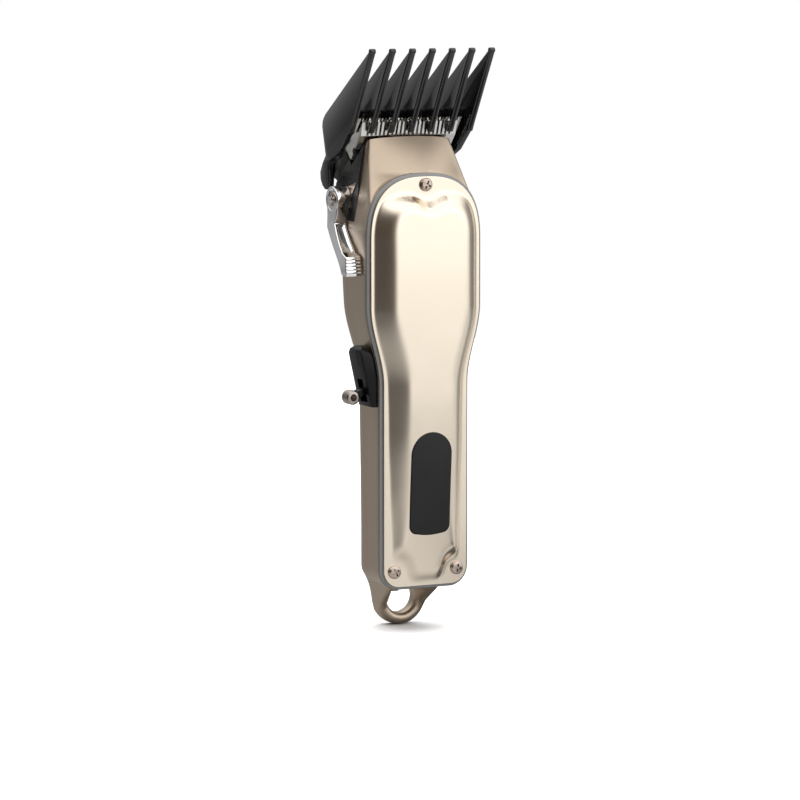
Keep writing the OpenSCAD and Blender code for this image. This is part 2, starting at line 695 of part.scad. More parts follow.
// Two-leg spring on the carriage's bridge that presses on the drive arm's foot
module blade_spring() {
    color(steel) on_blade() {
        for (s = [-1, 1]) {
            translate([s * 8.5 - 1.8, 21, -8.6]) rotate([0, 90, 0]) difference() {
                cylinder(r = 1.35, h = 3.6, $fn = fine);
                translate([0, 0, -1]) cylinder(r = 0.75, h = 6, $fn = fine);
            }
            lead([[s * 7.2, 20.3, -7.6], [s * 7.2, 16.4, -6.8], [s * 7.2, 10, -5.3]], 0.4);
        }
        lead([[-6.9, 22.1, -8.2], [6.9, 22.1, -8.2]], 0.4);
    }
}
module blade_carrier() {
    color(black) difference() {
        intersection() {
            union() {
                two_sides() along_x(cheek_in, cheek_out)
                    polygon([[nose_back_y + clear, carrier_z], [nose_back_y + clear, nose_z + 4],
                             [14, nose_z + 4], [14, carrier_z]]);
                on_blade() box([-cheek_out, 24, -3.4], [cheek_out, blade_len, -0.02]);
                box([-cheek_out, 9, carrier_z], [cheek_out, 12, carrier_z + 6]);
            }
            // Round back and narrowing sides
            along_x(-30, 30) polygon([[nose_back_y - 1, carrier_z - 1], [12.2, carrier_z - 1], [12.2, pivot[1] + 3],
                                      [tip_y + blade_len * sin(blade_lean), tip_z - blade_len * cos(blade_lean) + 0.4],
                                      [nose_back_y - 1, nose_z + 3]]);
            along_y(-30, 30) polygon([[-body_half(carrier_z), carrier_z - 1], [body_half(carrier_z), carrier_z - 1],
                                      [nose_w / 2 - 0.3, nose_z + 2], [-nose_w / 2 + 0.3, nose_z + 2]]);
        }
        // Under the cutter, and under the fixed blade behind it
        on_blade() box([-30, -20, nose_h], [30, 19.4, 20]);
        on_blade() box([-30, -20, -0.02], [30, 50, 20]);
        rod_x(pivot[0], pivot[1], shaft_r + run, -30, 30);
        on_blade() blade_screw_places() translate([0, 0, -3.1]) cylinder(r = 1.47, h = 6, $fn = fine);
        for (s = [-1, 1]) translate([s * carrier_screw[0], carrier_screw[1], carrier_z - 1])
            cylinder(r = 0.8, h = 2.6, $fn = fine);
    }
}
module carrier_screws() {
    color(steel) for (s = [-1, 1])
        translate([s * carrier_screw[0], carrier_screw[1], step_z - 1.5]) cylinder(r = 0.78, h = 3, $fn = fine);
}

// ---- taper lever ----

lever_dir = [-sin(lever_lean), -cos(lever_lean)];
pad_c = [pivot[0] + lever_len * lever_dir[0], pivot[1] + lever_len * lever_dir[1]];
module lever_block(size, x, along) {
    c = [pivot[0] + along * lever_dir[0], pivot[1] + along * lever_dir[1]];
    translate([x, c[0], c[1]]) rotate([-lever_lean, 0, 0]) cube(size, center = true);
}
module taper_lever() {
    color(chrome) {
        difference() {
            union() {
                rod_x(pivot[0], pivot[1], boss_r, lever_x, lever_in);
                hull() {
                    lever_block([5, 6, 1], (lever_x + lever_in) / 2, 2.4);
                    lever_block([4.2, 4.6, 1], lever_x + 2.1, boss_r + 4.5);
                }
                hull() {
                    lever_block([4.2, 4.6, 1], lever_x + 2.1, boss_r + 4.5);
                    lever_block([5, 4.8, 1], (pad_x[0] + pad_x[1]) / 2, lever_len - 3.6);
                }
                hull() {
                    lever_block([5, 4.8, 1], (pad_x[0] + pad_x[1]) / 2, lever_len - 3.6);
                    lever_block([pad_x[1] - pad_x[0], 5, 1], (pad_x[0] + pad_x[1]) / 2, lever_len + 2.2);
                }
            }
            rod_x(pivot[0], pivot[1], boss_r - 1, lever_x - 1, lever_x + 1.4);
            rod_x(pivot[0], pivot[1], 1.25, lever_x - 1, lever_in + 3);
            // Ribs across the thumb pad
            for (k = [0:4]) lever_block_cut(lever_len - 3 + 1.1 * k);
        }
        difference() {
            rod_x(pivot[0], pivot[1], shaft_r, lever_in, -cheek_in + 0.1);
            rod_x(pivot[0], pivot[1], 1.25, lever_in - 1, lever_in + 4);
        }
        a = blade_lean - lever_swing / 2;
        rod_x(pivot[0] - cam_arm * cos(a), pivot[1] - cam_arm * sin(a), cam_pin_r, -cheek_in, -carriage_out + 2.1);
    }
}
module lever_block_cut(along) {
    c = [pivot[0] + along * lever_dir[0], pivot[1] + along * lever_dir[1]];
    translate([(pad_x[0] + pad_x[1]) / 2, c[0], c[1]]) rotate([-lever_lean, 0, 0])
        translate([0, -2.7, 0]) cube([8, 1, 0.5], center = true);
}
module lever_screw() {
    color(chrome) translate([lever_x + 1.4, pivot[0], pivot[1]]) rotate([0, 0, -90])
        pan_screw(boss_r - 1.3, 1.23, 6, 1.2);
}
module detent_plate() {
    color(chrome) difference() {
        along_x(-cheek_out - 0.4, -cheek_out) {
            translate(pivot) circle(r = 5.2, $fn = fine);
            polygon([[pivot[0] - 4, pivot[1] + 1], [pivot[0] - 8.6, pivot[1] + 6.4], [pivot[0] - 0.6, pivot[1] + 4.2]]);
        }
        rod_x(pivot[0], pivot[1], shaft_r + run, -30, 0);
    }
}

// ---- power toggle ----

function base_face(z) = -19.4 - (z - base_z0) * 0.2207;
module base_outline(grow) {
    y0 = base_y[0] - grow;
    y1 = base_y[1] + grow;
    z1 = base_z1 + grow;
    r = 3.6 + grow;
    translate([y0, base_z0 - grow]) square([y1 - y0, z1 - r - base_z0 + grow]);
    translate([y0 + r, z1 - r - 1]) square([y1 - y0 - 2 * r, r + 1]);
    for (y = [y0 + r, y1 - r]) translate([y, z1 - r]) circle(r = r, $fn = fine);
}
module switch_pocket(grow) { along_x(-30, base_in + grow) base_outline(grow); }
module toggle_room() {
    box([-30, -15.7, base_z0 - 1], [-17.2, base_y[1] + 1, base_z0 + 11]);
    box([toggle_axis[0] - 2.4, -15.7, base_z0 + 1.6], [toggle_axis[0] + toggle_barrel + 0.15, -10.3, base_z0 + 11]);
}
module switch_base() {
    color(black) difference() {
        intersection() {
            along_x(-30, base_in) base_outline(0);
            along_y(-30, 0) polygon([[base_in + 1, base_z0 - 1], [base_face(base_z0 - 1), base_z0 - 1],
                                     [base_face(base_z1 - 2.2), base_z1 - 2.2], [base_face(base_z1) + 1.6, base_z1 + 0.1],
                                     [base_in + 1, base_z1 + 0.1]]);
        }
        toggle_room();
        rod_y(toggle_axis[0], toggle_axis[1], 0.8, -18, -6);
        for (z = [base_z0 + 13.4, base_z0 + 18]) rod_x(-13.3, z, 0.9, -30, base_in + 1);
    }
}
module switch_screws() {
    color(steel) for (z = [base_z0 + 13.4, base_z0 + 18])
        rod_x(-13.3, z, 0.88, base_face(z) + 2.6, base_in - 0.2);
}
module at_toggle(turn) {
    translate([toggle_axis[0], 0, toggle_axis[1]]) rotate([0, turn, 0]) children();
}
module switch_toggle() {
    color(black) difference() {
        at_toggle(-toggle_rest) union() {
            rod_y(0, 0, toggle_barrel, toggle_y[0], toggle_y[1]);
            box([-toggle_arm + knob_d / 2 - 0.2, toggle_y[0], -1.2], [0, toggle_y[1], 1.2]);
        }
        rod_y(toggle_axis[0], toggle_axis[1], 0.8 + run, -20, -5);
    }
}
module toggle_pin() {
    color(steel) rod_y(toggle_axis[0], toggle_axis[1], 0.79, -17.2, base_y[1] - 0.2);
}
module toggle_knob() {
    color(chrome) at_toggle(-toggle_rest) difference() {
        rod_y(-toggle_arm, 0, knob_d / 2, knob_y[0], knob_y[1]);
        rod_y(-toggle_arm, 0, 1.25, knob_y[0] - 1, knob_y[0] + 1.4);
        rod_y(-toggle_arm, 0, 1.25, knob_y[1] - 1.4, knob_y[1] + 1);
        box([-toggle_arm + knob_d / 2 - 0.2, toggle_y[0] - 0.01, -1.21], [0, toggle_y[1] + 0.01, 1.21]);
    }
}
module power_switch() {
    color(black) box([-13.4, -15.5, base_z0 + 1], [-10.2, -10.9, base_z0 + 12]);
    color(steel) box([-14.2, -14.4, base_z0 + 5.4], [-13.4, -12.4, base_z0 + 7.4]);
}

// ---- guide comb ----

fin_pitch = (blade_w + 3 + fin_t) / (fin_count - 1);
comb_back = 22.6;
base_h = blade_t + 0.2;
base_t = 1.6;
// Side view of a fin in the blade frame; under is what runs below the blade's skin side
module fin_shape(under) {
    rise = (comb_h - 3.5) / (fin_reach + 11);
    difference() {
        union() {
            polygon([[-fin_reach, 2.6], [-fin_reach - 0.2, 4.3], [11.5, comb_h], [14.6, comb_h - 0.2],
                     [16.9, comb_h - 2], [comb_back, 3.2], [21.7, under ? base_h : 1.4],
                     [13.9, under ? base_h : -2.2], [3.3, under ? base_h : -3.9], [3.3, -3.9], [2.6, -3.95],
                     [-1.2, -2.9]]);
            translate([-fin_reach - 0.3, 3.45]) circle(r = 0.95, $fn = 32);
            translate([3.1, -3.2]) circle(r = 0.72, $fn = 32);
        }
        if (under) translate([-1.2, -2.35]) square([40, 2.35 + base_h]);
    }
}
module guide_comb() {
    half = (fin_count - 1) / 2;
    color(black) on_blade() {
        for (k = [-half:half]) {
            x = k * fin_pitch;
            along_x(x - fin_t / 2, x + fin_t / 2) fin_shape(abs(k) < half);
        }
        box([-half * fin_pitch, -0.8, base_h], [half * fin_pitch, 20.4, base_h + base_t]);
        for (x = [-18.4, 0, 18.4]) {
            w = x == 0 ? 5.6 : 2.6;
            t = x == 0 ? 2 : 3.4;
            box([x - w, 20, base_h], [x + w, blade_len + 0.4, base_h + t]);
            translate([x - w, blade_len + 0.4, base_h + t / 2]) rotate([0, 90, 0]) cylinder(r = t / 2, h = 2 * w, $fn = 32);
        }
    }
}

housing();
front_cover();
seam_trim();
cover_screws();
display_window();
display_board();
display_leds();
battery_cell();
battery_contacts();
control_board();
charging_socket();
motor_can();
motor_end_cap();
motor_magnets();
motor_bushes();
motor_cradle();
cradle_screws();
motor_shaft();
motor_armature();
eccentric_cam();
blade_carrier();
carrier_screws();
fixed_blade();
blade_screws();
cutter_blade();
drive_arm();
blade_spring();
taper_carriage();
taper_lever();
lever_screw();
detent_plate();
switch_base();
switch_screws();
switch_toggle();
toggle_pin();
toggle_knob();
power_switch();
motor_leads();
battery_leads();
guide_comb();
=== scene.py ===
import json
import math
import bpy
from mathutils import Matrix, Vector


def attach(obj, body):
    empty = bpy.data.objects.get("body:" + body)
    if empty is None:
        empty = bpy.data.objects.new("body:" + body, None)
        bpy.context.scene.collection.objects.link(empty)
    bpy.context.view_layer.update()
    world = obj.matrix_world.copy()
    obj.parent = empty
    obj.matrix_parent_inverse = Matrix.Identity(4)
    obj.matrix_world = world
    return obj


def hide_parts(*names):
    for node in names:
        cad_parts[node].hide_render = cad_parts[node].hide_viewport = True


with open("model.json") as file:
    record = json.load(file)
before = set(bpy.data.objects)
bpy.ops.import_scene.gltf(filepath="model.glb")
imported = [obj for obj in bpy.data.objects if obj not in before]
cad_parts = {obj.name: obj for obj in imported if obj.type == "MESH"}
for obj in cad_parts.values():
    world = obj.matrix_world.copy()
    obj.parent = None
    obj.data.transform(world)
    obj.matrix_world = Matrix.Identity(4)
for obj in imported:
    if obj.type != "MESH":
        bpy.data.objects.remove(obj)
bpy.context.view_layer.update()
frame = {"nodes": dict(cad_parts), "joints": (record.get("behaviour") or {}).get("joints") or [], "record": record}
joints = {joint["name"]: joint for joint in frame["joints"]}
slotOf = {part["node"]: part["material_slot"] for part in frame["record"]["subparts"]}
print("frame loaded with", len(frame["nodes"]), "nodes")

# ---- camera, floor and light ----

view = {"azimuth": -27, "pitch": 6.5, "distance": 1.4, "lens": 180,
        "aim": (-0.0046, -0.01064, 0.07133)}


def addCamera():
    turn, lift = math.radians(view["azimuth"]), math.radians(view["pitch"])
    right = Vector((math.cos(turn), math.sin(turn), 0))
    back = Vector((math.sin(turn) * math.cos(lift), -math.cos(turn) * math.cos(lift), math.sin(lift)))
    up = back.cross(right)
    data = bpy.data.cameras.new("productCamera")
    data.lens = view["lens"]
    data.sensor_width = 36
    data.clip_end = 20
    camera = bpy.data.objects.new("productCamera", data)
    bpy.context.scene.collection.objects.link(camera)
    turned = Matrix((right, up, back)).transposed().to_4x4()
    camera.matrix_world = Matrix.Translation(Vector(view["aim"]) + back * view["distance"]) @ turned
    bpy.context.scene.camera = camera


addCamera()
bpy.context.scene.view_settings.view_transform = "Standard"

# mirroredFront, mirroredLeft and mirroredBack set how bright reflections see the floor in front, to the left and
# behind: painted shade that only reflections see
studio = {"floorSize": 1.8, "floorZ": -0.0098, "floorShade": 0.94, "mirroredFront": 0.39, "mirroredLeft": 0.07, "mirroredBack": 0.17,
          # x, y and reach of the painted dark patches on the floor, painted shade seen only in reflections
          "paintedShadePatches": [(0.105, -0.1, 0.05), (0.05, 0.0, 0.042)], "strength": 1.0,
          # brightness round the object: share of a full turn from the back, and how bright
          "around": [(0.0, 0.32), (0.075, 0.28), (0.2, 0.14), (0.30, 0.055), (0.38, 0.06), (0.44, 0.15), (0.49, 0.65),
                     (0.535, 1.22), (0.62, 1.26), (0.68, 0.9), (0.75, 0.28), (0.825, 0.20), (1.0, 0.32)],
          "warmth": 0.3, "topGain": 1.36, "overhead": 1.6}


def addStudio():
    bpy.ops.mesh.primitive_plane_add(size=studio["floorSize"], location=(0, 0, studio["floorZ"]))
    floor = bpy.context.object
    floor.name = "studioFloor"
    paper = bpy.data.materials.new("floorPaper")
    paper.use_nodes = True
    # painted shade: the camera sees the plain pale floor, and every other ray sees a floor toned down where the clipper
    # mirrors it, darker to the left and behind, with two painted dark patches
    sheen = paper.node_tree.nodes["Principled BSDF"]
    sheen.inputs["Roughness"].default_value = 0.7
    sheen.inputs["Specular IOR Level"].default_value = 0.1
    direct = paper.node_tree.nodes.new("ShaderNodeLightPath")
    tone = paper.node_tree.nodes.new("ShaderNodeMix")
    tone.data_type = "RGBA"
    spot = paper.node_tree.nodes.new("ShaderNodeTexCoord")
    depth = paper.node_tree.nodes.new("ShaderNodeSeparateXYZ")
    paper.node_tree.links.new(spot.outputs["Object"], depth.inputs[0])
    fades = []
    for axis, low, high, start, end in [("X", -0.34, 0.02, studio["mirroredLeft"], studio["mirroredFront"]), ("Y", -0.06, 0.1, 0, 1)]:
        fade = paper.node_tree.nodes.new("ShaderNodeMapRange")
        fade.interpolation_type = "SMOOTHSTEP"
        fade.inputs["From Min"].default_value = low
        fade.inputs["From Max"].default_value = high
        fade.inputs["To Min"].default_value = start
        fade.inputs["To Max"].default_value = end
        paper.node_tree.links.new(depth.outputs[axis], fade.inputs["Value"])
        fades.append(fade)
    back = paper.node_tree.nodes.new("ShaderNodeMix")
    back.inputs["B"].default_value = studio["mirroredBack"]
    paper.node_tree.links.new(fades[1].outputs[0], back.inputs["Factor"])
    paper.node_tree.links.new(fades[0].outputs[0], back.inputs["A"])
    shade = back.outputs["Result"]
    # each patch paints a dark spot of shade on the floor that only reflections see
    for x, y, reach in studio["paintedShadePatches"]:
        away = paper.node_tree.nodes.new("ShaderNodeVectorMath")
        away.operation = "DISTANCE"
        away.inputs[1].default_value = (x, y, 0)
        rim = paper.node_tree.nodes.new("ShaderNodeMapRange")
        rim.interpolation_type = "SMOOTHSTEP"
        rim.inputs["From Min"].default_value = reach * 0.7
        rim.inputs["From Max"].default_value = reach * 1.3
        rim.inputs["To Min"].default_value = 0.1
        darker = paper.node_tree.nodes.new("ShaderNodeMath")
        darker.operation = "MULTIPLY"
        paper.node_tree.links.new(spot.outputs["Object"], away.inputs[0])
        paper.node_tree.links.new(away.outputs["Value"], rim.inputs["Value"])
        paper.node_tree.links.new(shade, darker.inputs[0])
        paper.node_tree.links.new(rim.outputs[0], darker.inputs[1])
        shade = darker.outputs[0]
    # the camera sees the plain floorShade, and every other ray the painted shade above
    paper.node_tree.links.new(shade, tone.inputs["A"])
    tone.inputs["B"].default_value = (*[studio["floorShade"]] * 3, 1)
    paper.node_tree.links.new(direct.outputs["Is Camera Ray"], tone.inputs["Factor"])
    paper.node_tree.links.new(tone.outputs["Result"], sheen.inputs["Base Color"])
    floor.data.materials.append(paper)

    world = bpy.data.worlds.new("studioLight")
    bpy.context.scene.world = world
    world.use_nodes = True
    tree = world.node_tree
    add, link = tree.nodes.new, tree.links.new
    background = tree.nodes["Background"]
    background.inputs["Strength"].default_value = studio["strength"]
    where = add("ShaderNodeTexCoord")
    parts = add("ShaderNodeSeparateXYZ")
    link(where.outputs["Generated"], parts.inputs[0])
    flip = add("ShaderNodeMath")
    flip.operation = "MULTIPLY"
    flip.inputs[1].default_value = -1
    link(parts.outputs["Y"], flip.inputs[0])
    bearing = add("ShaderNodeMath")
    bearing.operation = "ARCTAN2"
    link(parts.outputs["X"], bearing.inputs[0])
    link(flip.outputs[0], bearing.inputs[1])
    share = add("ShaderNodeMapRange")
    share.inputs["From Min"].default_value = -math.pi
    share.inputs["From Max"].default_value = math.pi
    link(bearing.outputs[0], share.inputs["Value"])
    ramp = add("ShaderNodeValToRGB")
    ramp.color_ramp.interpolation = "EASE"
    for i, (place, level) in enumerate(studio["around"]):
        stop = ramp.color_ramp.elements[i] if i < 2 else ramp.color_ramp.elements.new(place)
        stop.position = place
        warm = studio["warmth"] if 0.15 < place < 0.46 else 0
        stop.color = (level, level * (1 - 0.6 * warm), level * (1 - warm), 1)
    link(share.outputs[0], ramp.inputs["Fac"])
    # the upright soft box is brighter towards its top
    rise = add("ShaderNodeMapRange")
    rise.inputs["From Min"].default_value = -0.11
    rise.inputs["From Max"].default_value = 0.02
    rise.inputs["To Min"].default_value = 0.96
    rise.inputs["To Max"].default_value = studio["topGain"]
    link(parts.outputs["Z"], rise.inputs["Value"])
    boxed = add("ShaderNodeVectorMath")
    boxed.operation = "SCALE"
    link(ramp.outputs["Color"], boxed.inputs[0])
    link(rise.outputs[0], boxed.inputs["Scale"])
    height = add("ShaderNodeMapRange")
    height.interpolation_type = "SMOOTHSTEP"
    height.inputs["From Min"].default_value = 0.32
    height.inputs["From Max"].default_value = 0.85
    link(parts.outputs["Z"], height.inputs["Value"])
    sky = add("ShaderNodeMix")
    sky.data_type = "RGBA"
    link(height.outputs[0], sky.inputs["Factor"])
    link(boxed.outputs[0], sky.inputs["A"])
    sky.inputs["B"].default_value = (*[studio["overhead"]] * 3, 1)
    path = add("ShaderNodeLightPath")
    seen = add("ShaderNodeMix")
    seen.data_type = "RGBA"
    link(path.outputs["Is Camera Ray"], seen.inputs["Factor"])
    link(sky.outputs["Result"], seen.inputs["A"])
    seen.inputs["B"].default_value = (1, 1, 1, 1)
    link(seen.outputs["Result"], background.inputs["Color"])


addStudio()

lamps = {"overhead": {"place": (0.0, 0.1, 2.0), "size": 2.6, "power": 50}}


def addLamps():
    for name, lamp in lamps.items():
        data = bpy.data.lights.new(name, "AREA")
        data.size = lamp["size"]
        data.energy = lamp["power"]
        light = bpy.data.objects.new(name, data)
        bpy.context.scene.collection.objects.link(light)
        place = Vector(lamp["place"])
        light.location = place
        light.visible_glossy = False    # it only lights the paper and the plastics
        light.rotation_euler = (place - Vector((0, 0, 0.09))).to_track_quat("Z", "Y").to_euler()


addLamps()
print("camera, floor and light placed")

# ---- finishes ----
# tint and vary are the two ends of a finish's colour; grain is the size in mm of its fine texture

finishes = {
    "housing_paint": {"tint": (0.53, 0.435, 0.335), "vary": (0.50, 0.405, 0.31), "metal": 1.0, "rough": 0.4,
                      "grain": 0.22, "bump": 0.04, "coat": 0.1},
    "cover_paint": {"tint": (0.825, 0.73, 0.605), "vary": (0.80, 0.705, 0.58), "metal": 1.0, "rough": 0.23,
                    "grain": 0.2, "bump": 0.03, "coat": 0.15},
    "trim_grey": {"tint": (0.24, 0.24, 0.235), "vary": (0.21, 0.21, 0.205), "metal": 0.6, "rough": 0.35,
                  "grain": 0.15, "bump": 0.05},
    "screw_chrome": {"tint": (0.55, 0.47, 0.41), "vary": (0.4, 0.33, 0.28), "metal": 1.0, "rough": 0.17,
                     "grain": 0.4, "bump": 0.1},
    "window_black": {"tint": (0.013, 0.013, 0.0135), "vary": (0.017, 0.017, 0.0175), "metal": 0.0, "rough": 0.42,
                     "grain": 0.12, "bump": 0.08, "gloss": 0.22},
    "board_green": {"tint": (0.02, 0.16, 0.06), "vary": (0.03, 0.22, 0.09), "metal": 0.0, "rough": 0.4,
                    "grain": 1.2, "bump": 0.1},
    "led_clear": {"tint": (0.82, 0.82, 0.76), "vary": (0.9, 0.9, 0.86), "metal": 0.0, "rough": 0.12,
                  "grain": 0.6, "bump": 0.02},
    "cell_wrap": {"tint": (0.03, 0.12, 0.42), "vary": (0.04, 0.16, 0.5), "metal": 0.0, "rough": 0.28,
                  "grain": 2.0, "bump": 0.08, "coat": 0.4},
    "strip_steel": {"tint": (0.62, 0.62, 0.63), "vary": (0.5, 0.5, 0.51), "metal": 1.0, "rough": 0.3,
                    "grain": 0.3, "bump": 0.1, "stretch": (1, 1, 0.06)},
    "inner_plastic": {"tint": (0.03, 0.03, 0.032), "vary": (0.045, 0.045, 0.047), "metal": 0.0, "rough": 0.5,
                      "grain": 0.2, "bump": 0.15},
    "magnet_grey": {"tint": (0.1, 0.1, 0.105), "vary": (0.16, 0.16, 0.165), "metal": 0.3, "rough": 0.6,
                    "grain": 0.25, "bump": 0.3},
    "bush_brass": {"tint": (0.8, 0.58, 0.27), "vary": (0.7, 0.48, 0.2), "metal": 1.0, "rough": 0.25,
                   "grain": 0.2, "bump": 0.08, "stretch": (1, 1, 6)},
    "winding_copper": {"tint": (0.82, 0.36, 0.16), "vary": (0.6, 0.24, 0.1), "metal": 1.0, "rough": 0.3,
                       "grain": 0.35, "bump": 0.6, "stretch": (4, 4, 0.15)},
    "screw_steel": {"tint": (0.6, 0.6, 0.6), "vary": (0.48, 0.48, 0.48), "metal": 1.0, "rough": 0.28,
                    "grain": 0.25, "bump": 0.1},
    "blade_steel": {"tint": (0.80, 0.79, 0.77), "vary": (0.66, 0.65, 0.63), "metal": 1.0, "rough": 0.24,
                    "grain": 0.09, "bump": 0.12, "stretch": (1, 0.04, 0.04)},
    "carrier_black": {"tint": (0.02, 0.02, 0.021), "vary": (0.03, 0.03, 0.031), "metal": 0.0, "rough": 0.38,
                      "grain": 0.25, "bump": 0.1},
    "spring_steel": {"tint": (0.6, 0.6, 0.6), "vary": (0.45, 0.45, 0.45), "metal": 1.0, "rough": 0.22,
                     "grain": 0.2, "bump": 0.05},
    "lever_chrome": {"tint": (0.88, 0.88, 0.89), "vary": (0.82, 0.82, 0.83), "metal": 1.0, "rough": 0.07,
                     "grain": 2.2, "bump": 0.05},
    "switch_black": {"tint": (0.003, 0.003, 0.0032), "vary": (0.0045, 0.0045, 0.0048), "metal": 0.0, "rough": 0.22,
                     "grain": 0.3, "bump": 0.06, "gloss": 0.2},
    "knob_steel": {"tint": (0.40, 0.36, 0.33), "vary": (0.32, 0.285, 0.26), "metal": 1.0, "rough": 0.17,
                   "grain": 0.2, "bump": 0.08},
    "lead_sleeve": {"tint": (0.32, 0.02, 0.02), "vary": (0.4, 0.03, 0.03), "metal": 0.0, "rough": 0.45,
                    "grain": 0.5, "bump": 0.1},
    "comb_black": {"tint": (0.010, 0.010, 0.012), "vary": (0.014, 0.014, 0.016), "metal": 0.0, "rough": 0.1,
                   "grain": 0.8, "bump": 0.03, "gloss": 0.56},
}


def makeFinish(name, look):
    material = bpy.data.materials.new(name)
    material.use_nodes = True
    tree = material.node_tree
    add, link = tree.nodes.new, tree.links.new
    shader = tree.nodes["Principled BSDF"]
    where = add("ShaderNodeTexCoord")
    place = add("ShaderNodeMapping")
    place.inputs["Scale"].default_value = look.get("stretch", (1, 1, 1))
    link(where.outputs["Object"], place.inputs["Vector"])
    grain = add("ShaderNodeTexNoise")
    grain.inputs["Scale"].default_value = 1000 / look["grain"]
    grain.inputs["Detail"].default_value = 3
    link(place.outputs[0], grain.inputs["Vector"])
    broad = add("ShaderNodeTexNoise")
    broad.inputs["Scale"].default_value = 70
    broad.inputs["Detail"].default_value = 4
    link(where.outputs["Object"], broad.inputs["Vector"])
    mottle = add("ShaderNodeMath")
    mottle.operation = "MULTIPLY_ADD"
    mottle.inputs[1].default_value = 0.5
    link(grain.outputs["Fac"], mottle.inputs[0])
    half = add("ShaderNodeMath")
    half.operation = "MULTIPLY"
    half.inputs[1].default_value = 0.5
    link(broad.outputs["Fac"], half.inputs[0])
    link(half.outputs[0], mottle.inputs[2])
    colour = add("ShaderNodeValToRGB")
    colour.color_ramp.elements[0].position = 0.36
    colour.color_ramp.elements[0].color = (*look["vary"], 1)
    colour.color_ramp.elements[1].position = 0.64
    colour.color_ramp.elements[1].color = (*look["tint"], 1)
    link(mottle.outputs[0], colour.inputs["Fac"])
    link(colour.outputs["Color"], shader.inputs["Base Color"])
    rough = add("ShaderNodeMapRange")
    rough.inputs["From Min"].default_value = 0.3
    rough.inputs["From Max"].default_value = 0.7
    rough.inputs["To Min"].default_value = look["rough"] * 0.88
    rough.inputs["To Max"].default_value = look["rough"] * 1.12
    link(mottle.outputs[0], rough.inputs["Value"])
    link(rough.outputs[0], shader.inputs["Roughness"])
    bump = add("ShaderNodeBump")
    bump.inputs["Strength"].default_value = look["bump"]
    bump.inputs["Distance"].default_value = look["grain"] * 0.0002
    link(grain.outputs["Fac"], bump.inputs["Height"])
    link(bump.outputs[0], shader.inputs["Normal"])
    shader.inputs["Metallic"].default_value = look["metal"]
    if "gloss" in look:
        shader.inputs["Specular IOR Level"].default_value = look["gloss"]
    if "coat" in look:
        shader.inputs["Coat Weight"].default_value = look["coat"]
        shader.inputs["Coat Roughness"].default_value = 0.2
    return material


materials = {name: makeFinish(name, look) for name, look in finishes.items()}
for name, node in frame["nodes"].items():
    node.data.materials.clear()
    node.data.materials.append(materials[slotOf[name]])
print("finishes made:", len(materials))

# ---- modelling helpers, all in millimetres ----

mm = 0.001


def selectOnly(piece):
    if bpy.context.mode != "OBJECT":
        bpy.ops.object.mode_set(mode="OBJECT")
    bpy.ops.object.select_all(action="DESELECT")
    piece.select_set(True)
    bpy.context.view_layer.objects.active = piece


def settle(piece):
    selectOnly(piece)
    bpy.ops.object.transform_apply(location=True, rotation=True, scale=True)


def block(low, high):
    bpy.ops.object.select_all(action="DESELECT")
    low, high = Vector(low), Vector(high)
    bpy.ops.mesh.primitive_cube_add(size=1, location=(low + high) / 2 * mm)
    piece = bpy.context.object
    piece.scale = (high - low) * mm
    settle(piece)
    return piece


def rod(start, end, radius, sides=48):
    bpy.ops.object.select_all(action="DESELECT")
    start, end = Vector(start) * mm, Vector(end) * mm
    bpy.ops.mesh.primitive_cylinder_add(vertices=sides, radius=radius * mm, depth=(end - start).length,
                                        location=(start + end) / 2,
                                        rotation=(end - start).to_track_quat("Z", "Y").to_euler())
    piece = bpy.context.object
    settle(piece)
    return piece


# A flat outline of corner points, pushed out into a solid
def plate(corners, push):
    bpy.ops.object.select_all(action="DESELECT")
    bpy.ops.mesh.primitive_circle_add(vertices=len(corners), radius=mm, fill_type="NGON")
    piece = bpy.context.object
    for vertex, corner in zip(piece.data.vertices, corners):
        vertex.co = Vector(corner) * mm
    selectOnly(piece)
    bpy.ops.object.mode_set(mode="EDIT")
    bpy.ops.mesh.select_all(action="SELECT")
    bpy.ops.mesh.extrude_region_move(TRANSFORM_OT_translate={"value": Vector(push) * mm})
    bpy.ops.mesh.select_all(action="SELECT")
    bpy.ops.mesh.normals_make_consistent(inside=False)
    bpy.ops.object.mode_set(mode="OBJECT")
    return piece


# A grid whose columns and rows are laid over a surface given by a function of two shares from 0 to 1
def drape(columns, rows, point, closed=False, capped=False):
    bpy.ops.object.select_all(action="DESELECT")
    bpy.ops.mesh.primitive_grid_add(x_subdivisions=columns, y_subdivisions=rows, size=2)
    piece = bpy.context.object
    for vertex in piece.data.vertices:
        vertex.co = Vector(point((vertex.co.x + 1) / 2, (vertex.co.y + 1) / 2)) * mm
    selectOnly(piece)
    bpy.ops.object.mode_set(mode="EDIT")
    bpy.ops.mesh.select_all(action="SELECT")
    bpy.ops.mesh.remove_doubles(threshold=0.000002)
    if capped:
        bpy.ops.mesh.select_all(action="SELECT")
        bpy.ops.mesh.fill_holes(sides=0)
    bpy.ops.mesh.select_all(action="SELECT")
    if closed or capped:
        bpy.ops.mesh.normals_make_consistent(inside=False)
    bpy.ops.object.mode_set(mode="OBJECT")
    return piece


def shape(piece, kind, **settings):
    selectOnly(piece)
    change = piece.modifiers.new(kind.lower(), kind)
    for key, value in settings.items():
        setattr(change, key, value)
    bpy.ops.object.modifier_apply(modifier=change.name)
    return piece


def soften(piece, width, segments=2, angle=35):
    return shape(piece, "BEVEL", width=width * mm, segments=segments, limit_method="ANGLE",
                 angle_limit=math.radians(angle), harden_normals=False, use_clamp_overlap=True)


def join(first, *others):
    selectOnly(first)
    for other in others:
        other.select_set(True)
    bpy.ops.object.join()
    return first


def cut(piece, *tools, way="DIFFERENCE"):
    for tool in tools:
        shape(piece, "BOOLEAN", object=tool, operation=way, solver="EXACT")
        bpy.data.objects.remove(tool)
    return piece


def copyOf(piece, offset):
    other = piece.copy()
    other.data = piece.data.copy()
    bpy.context.scene.collection.objects.link(other)
    other.data.transform(Matrix.Translation(Vector(offset) * mm))
    return other


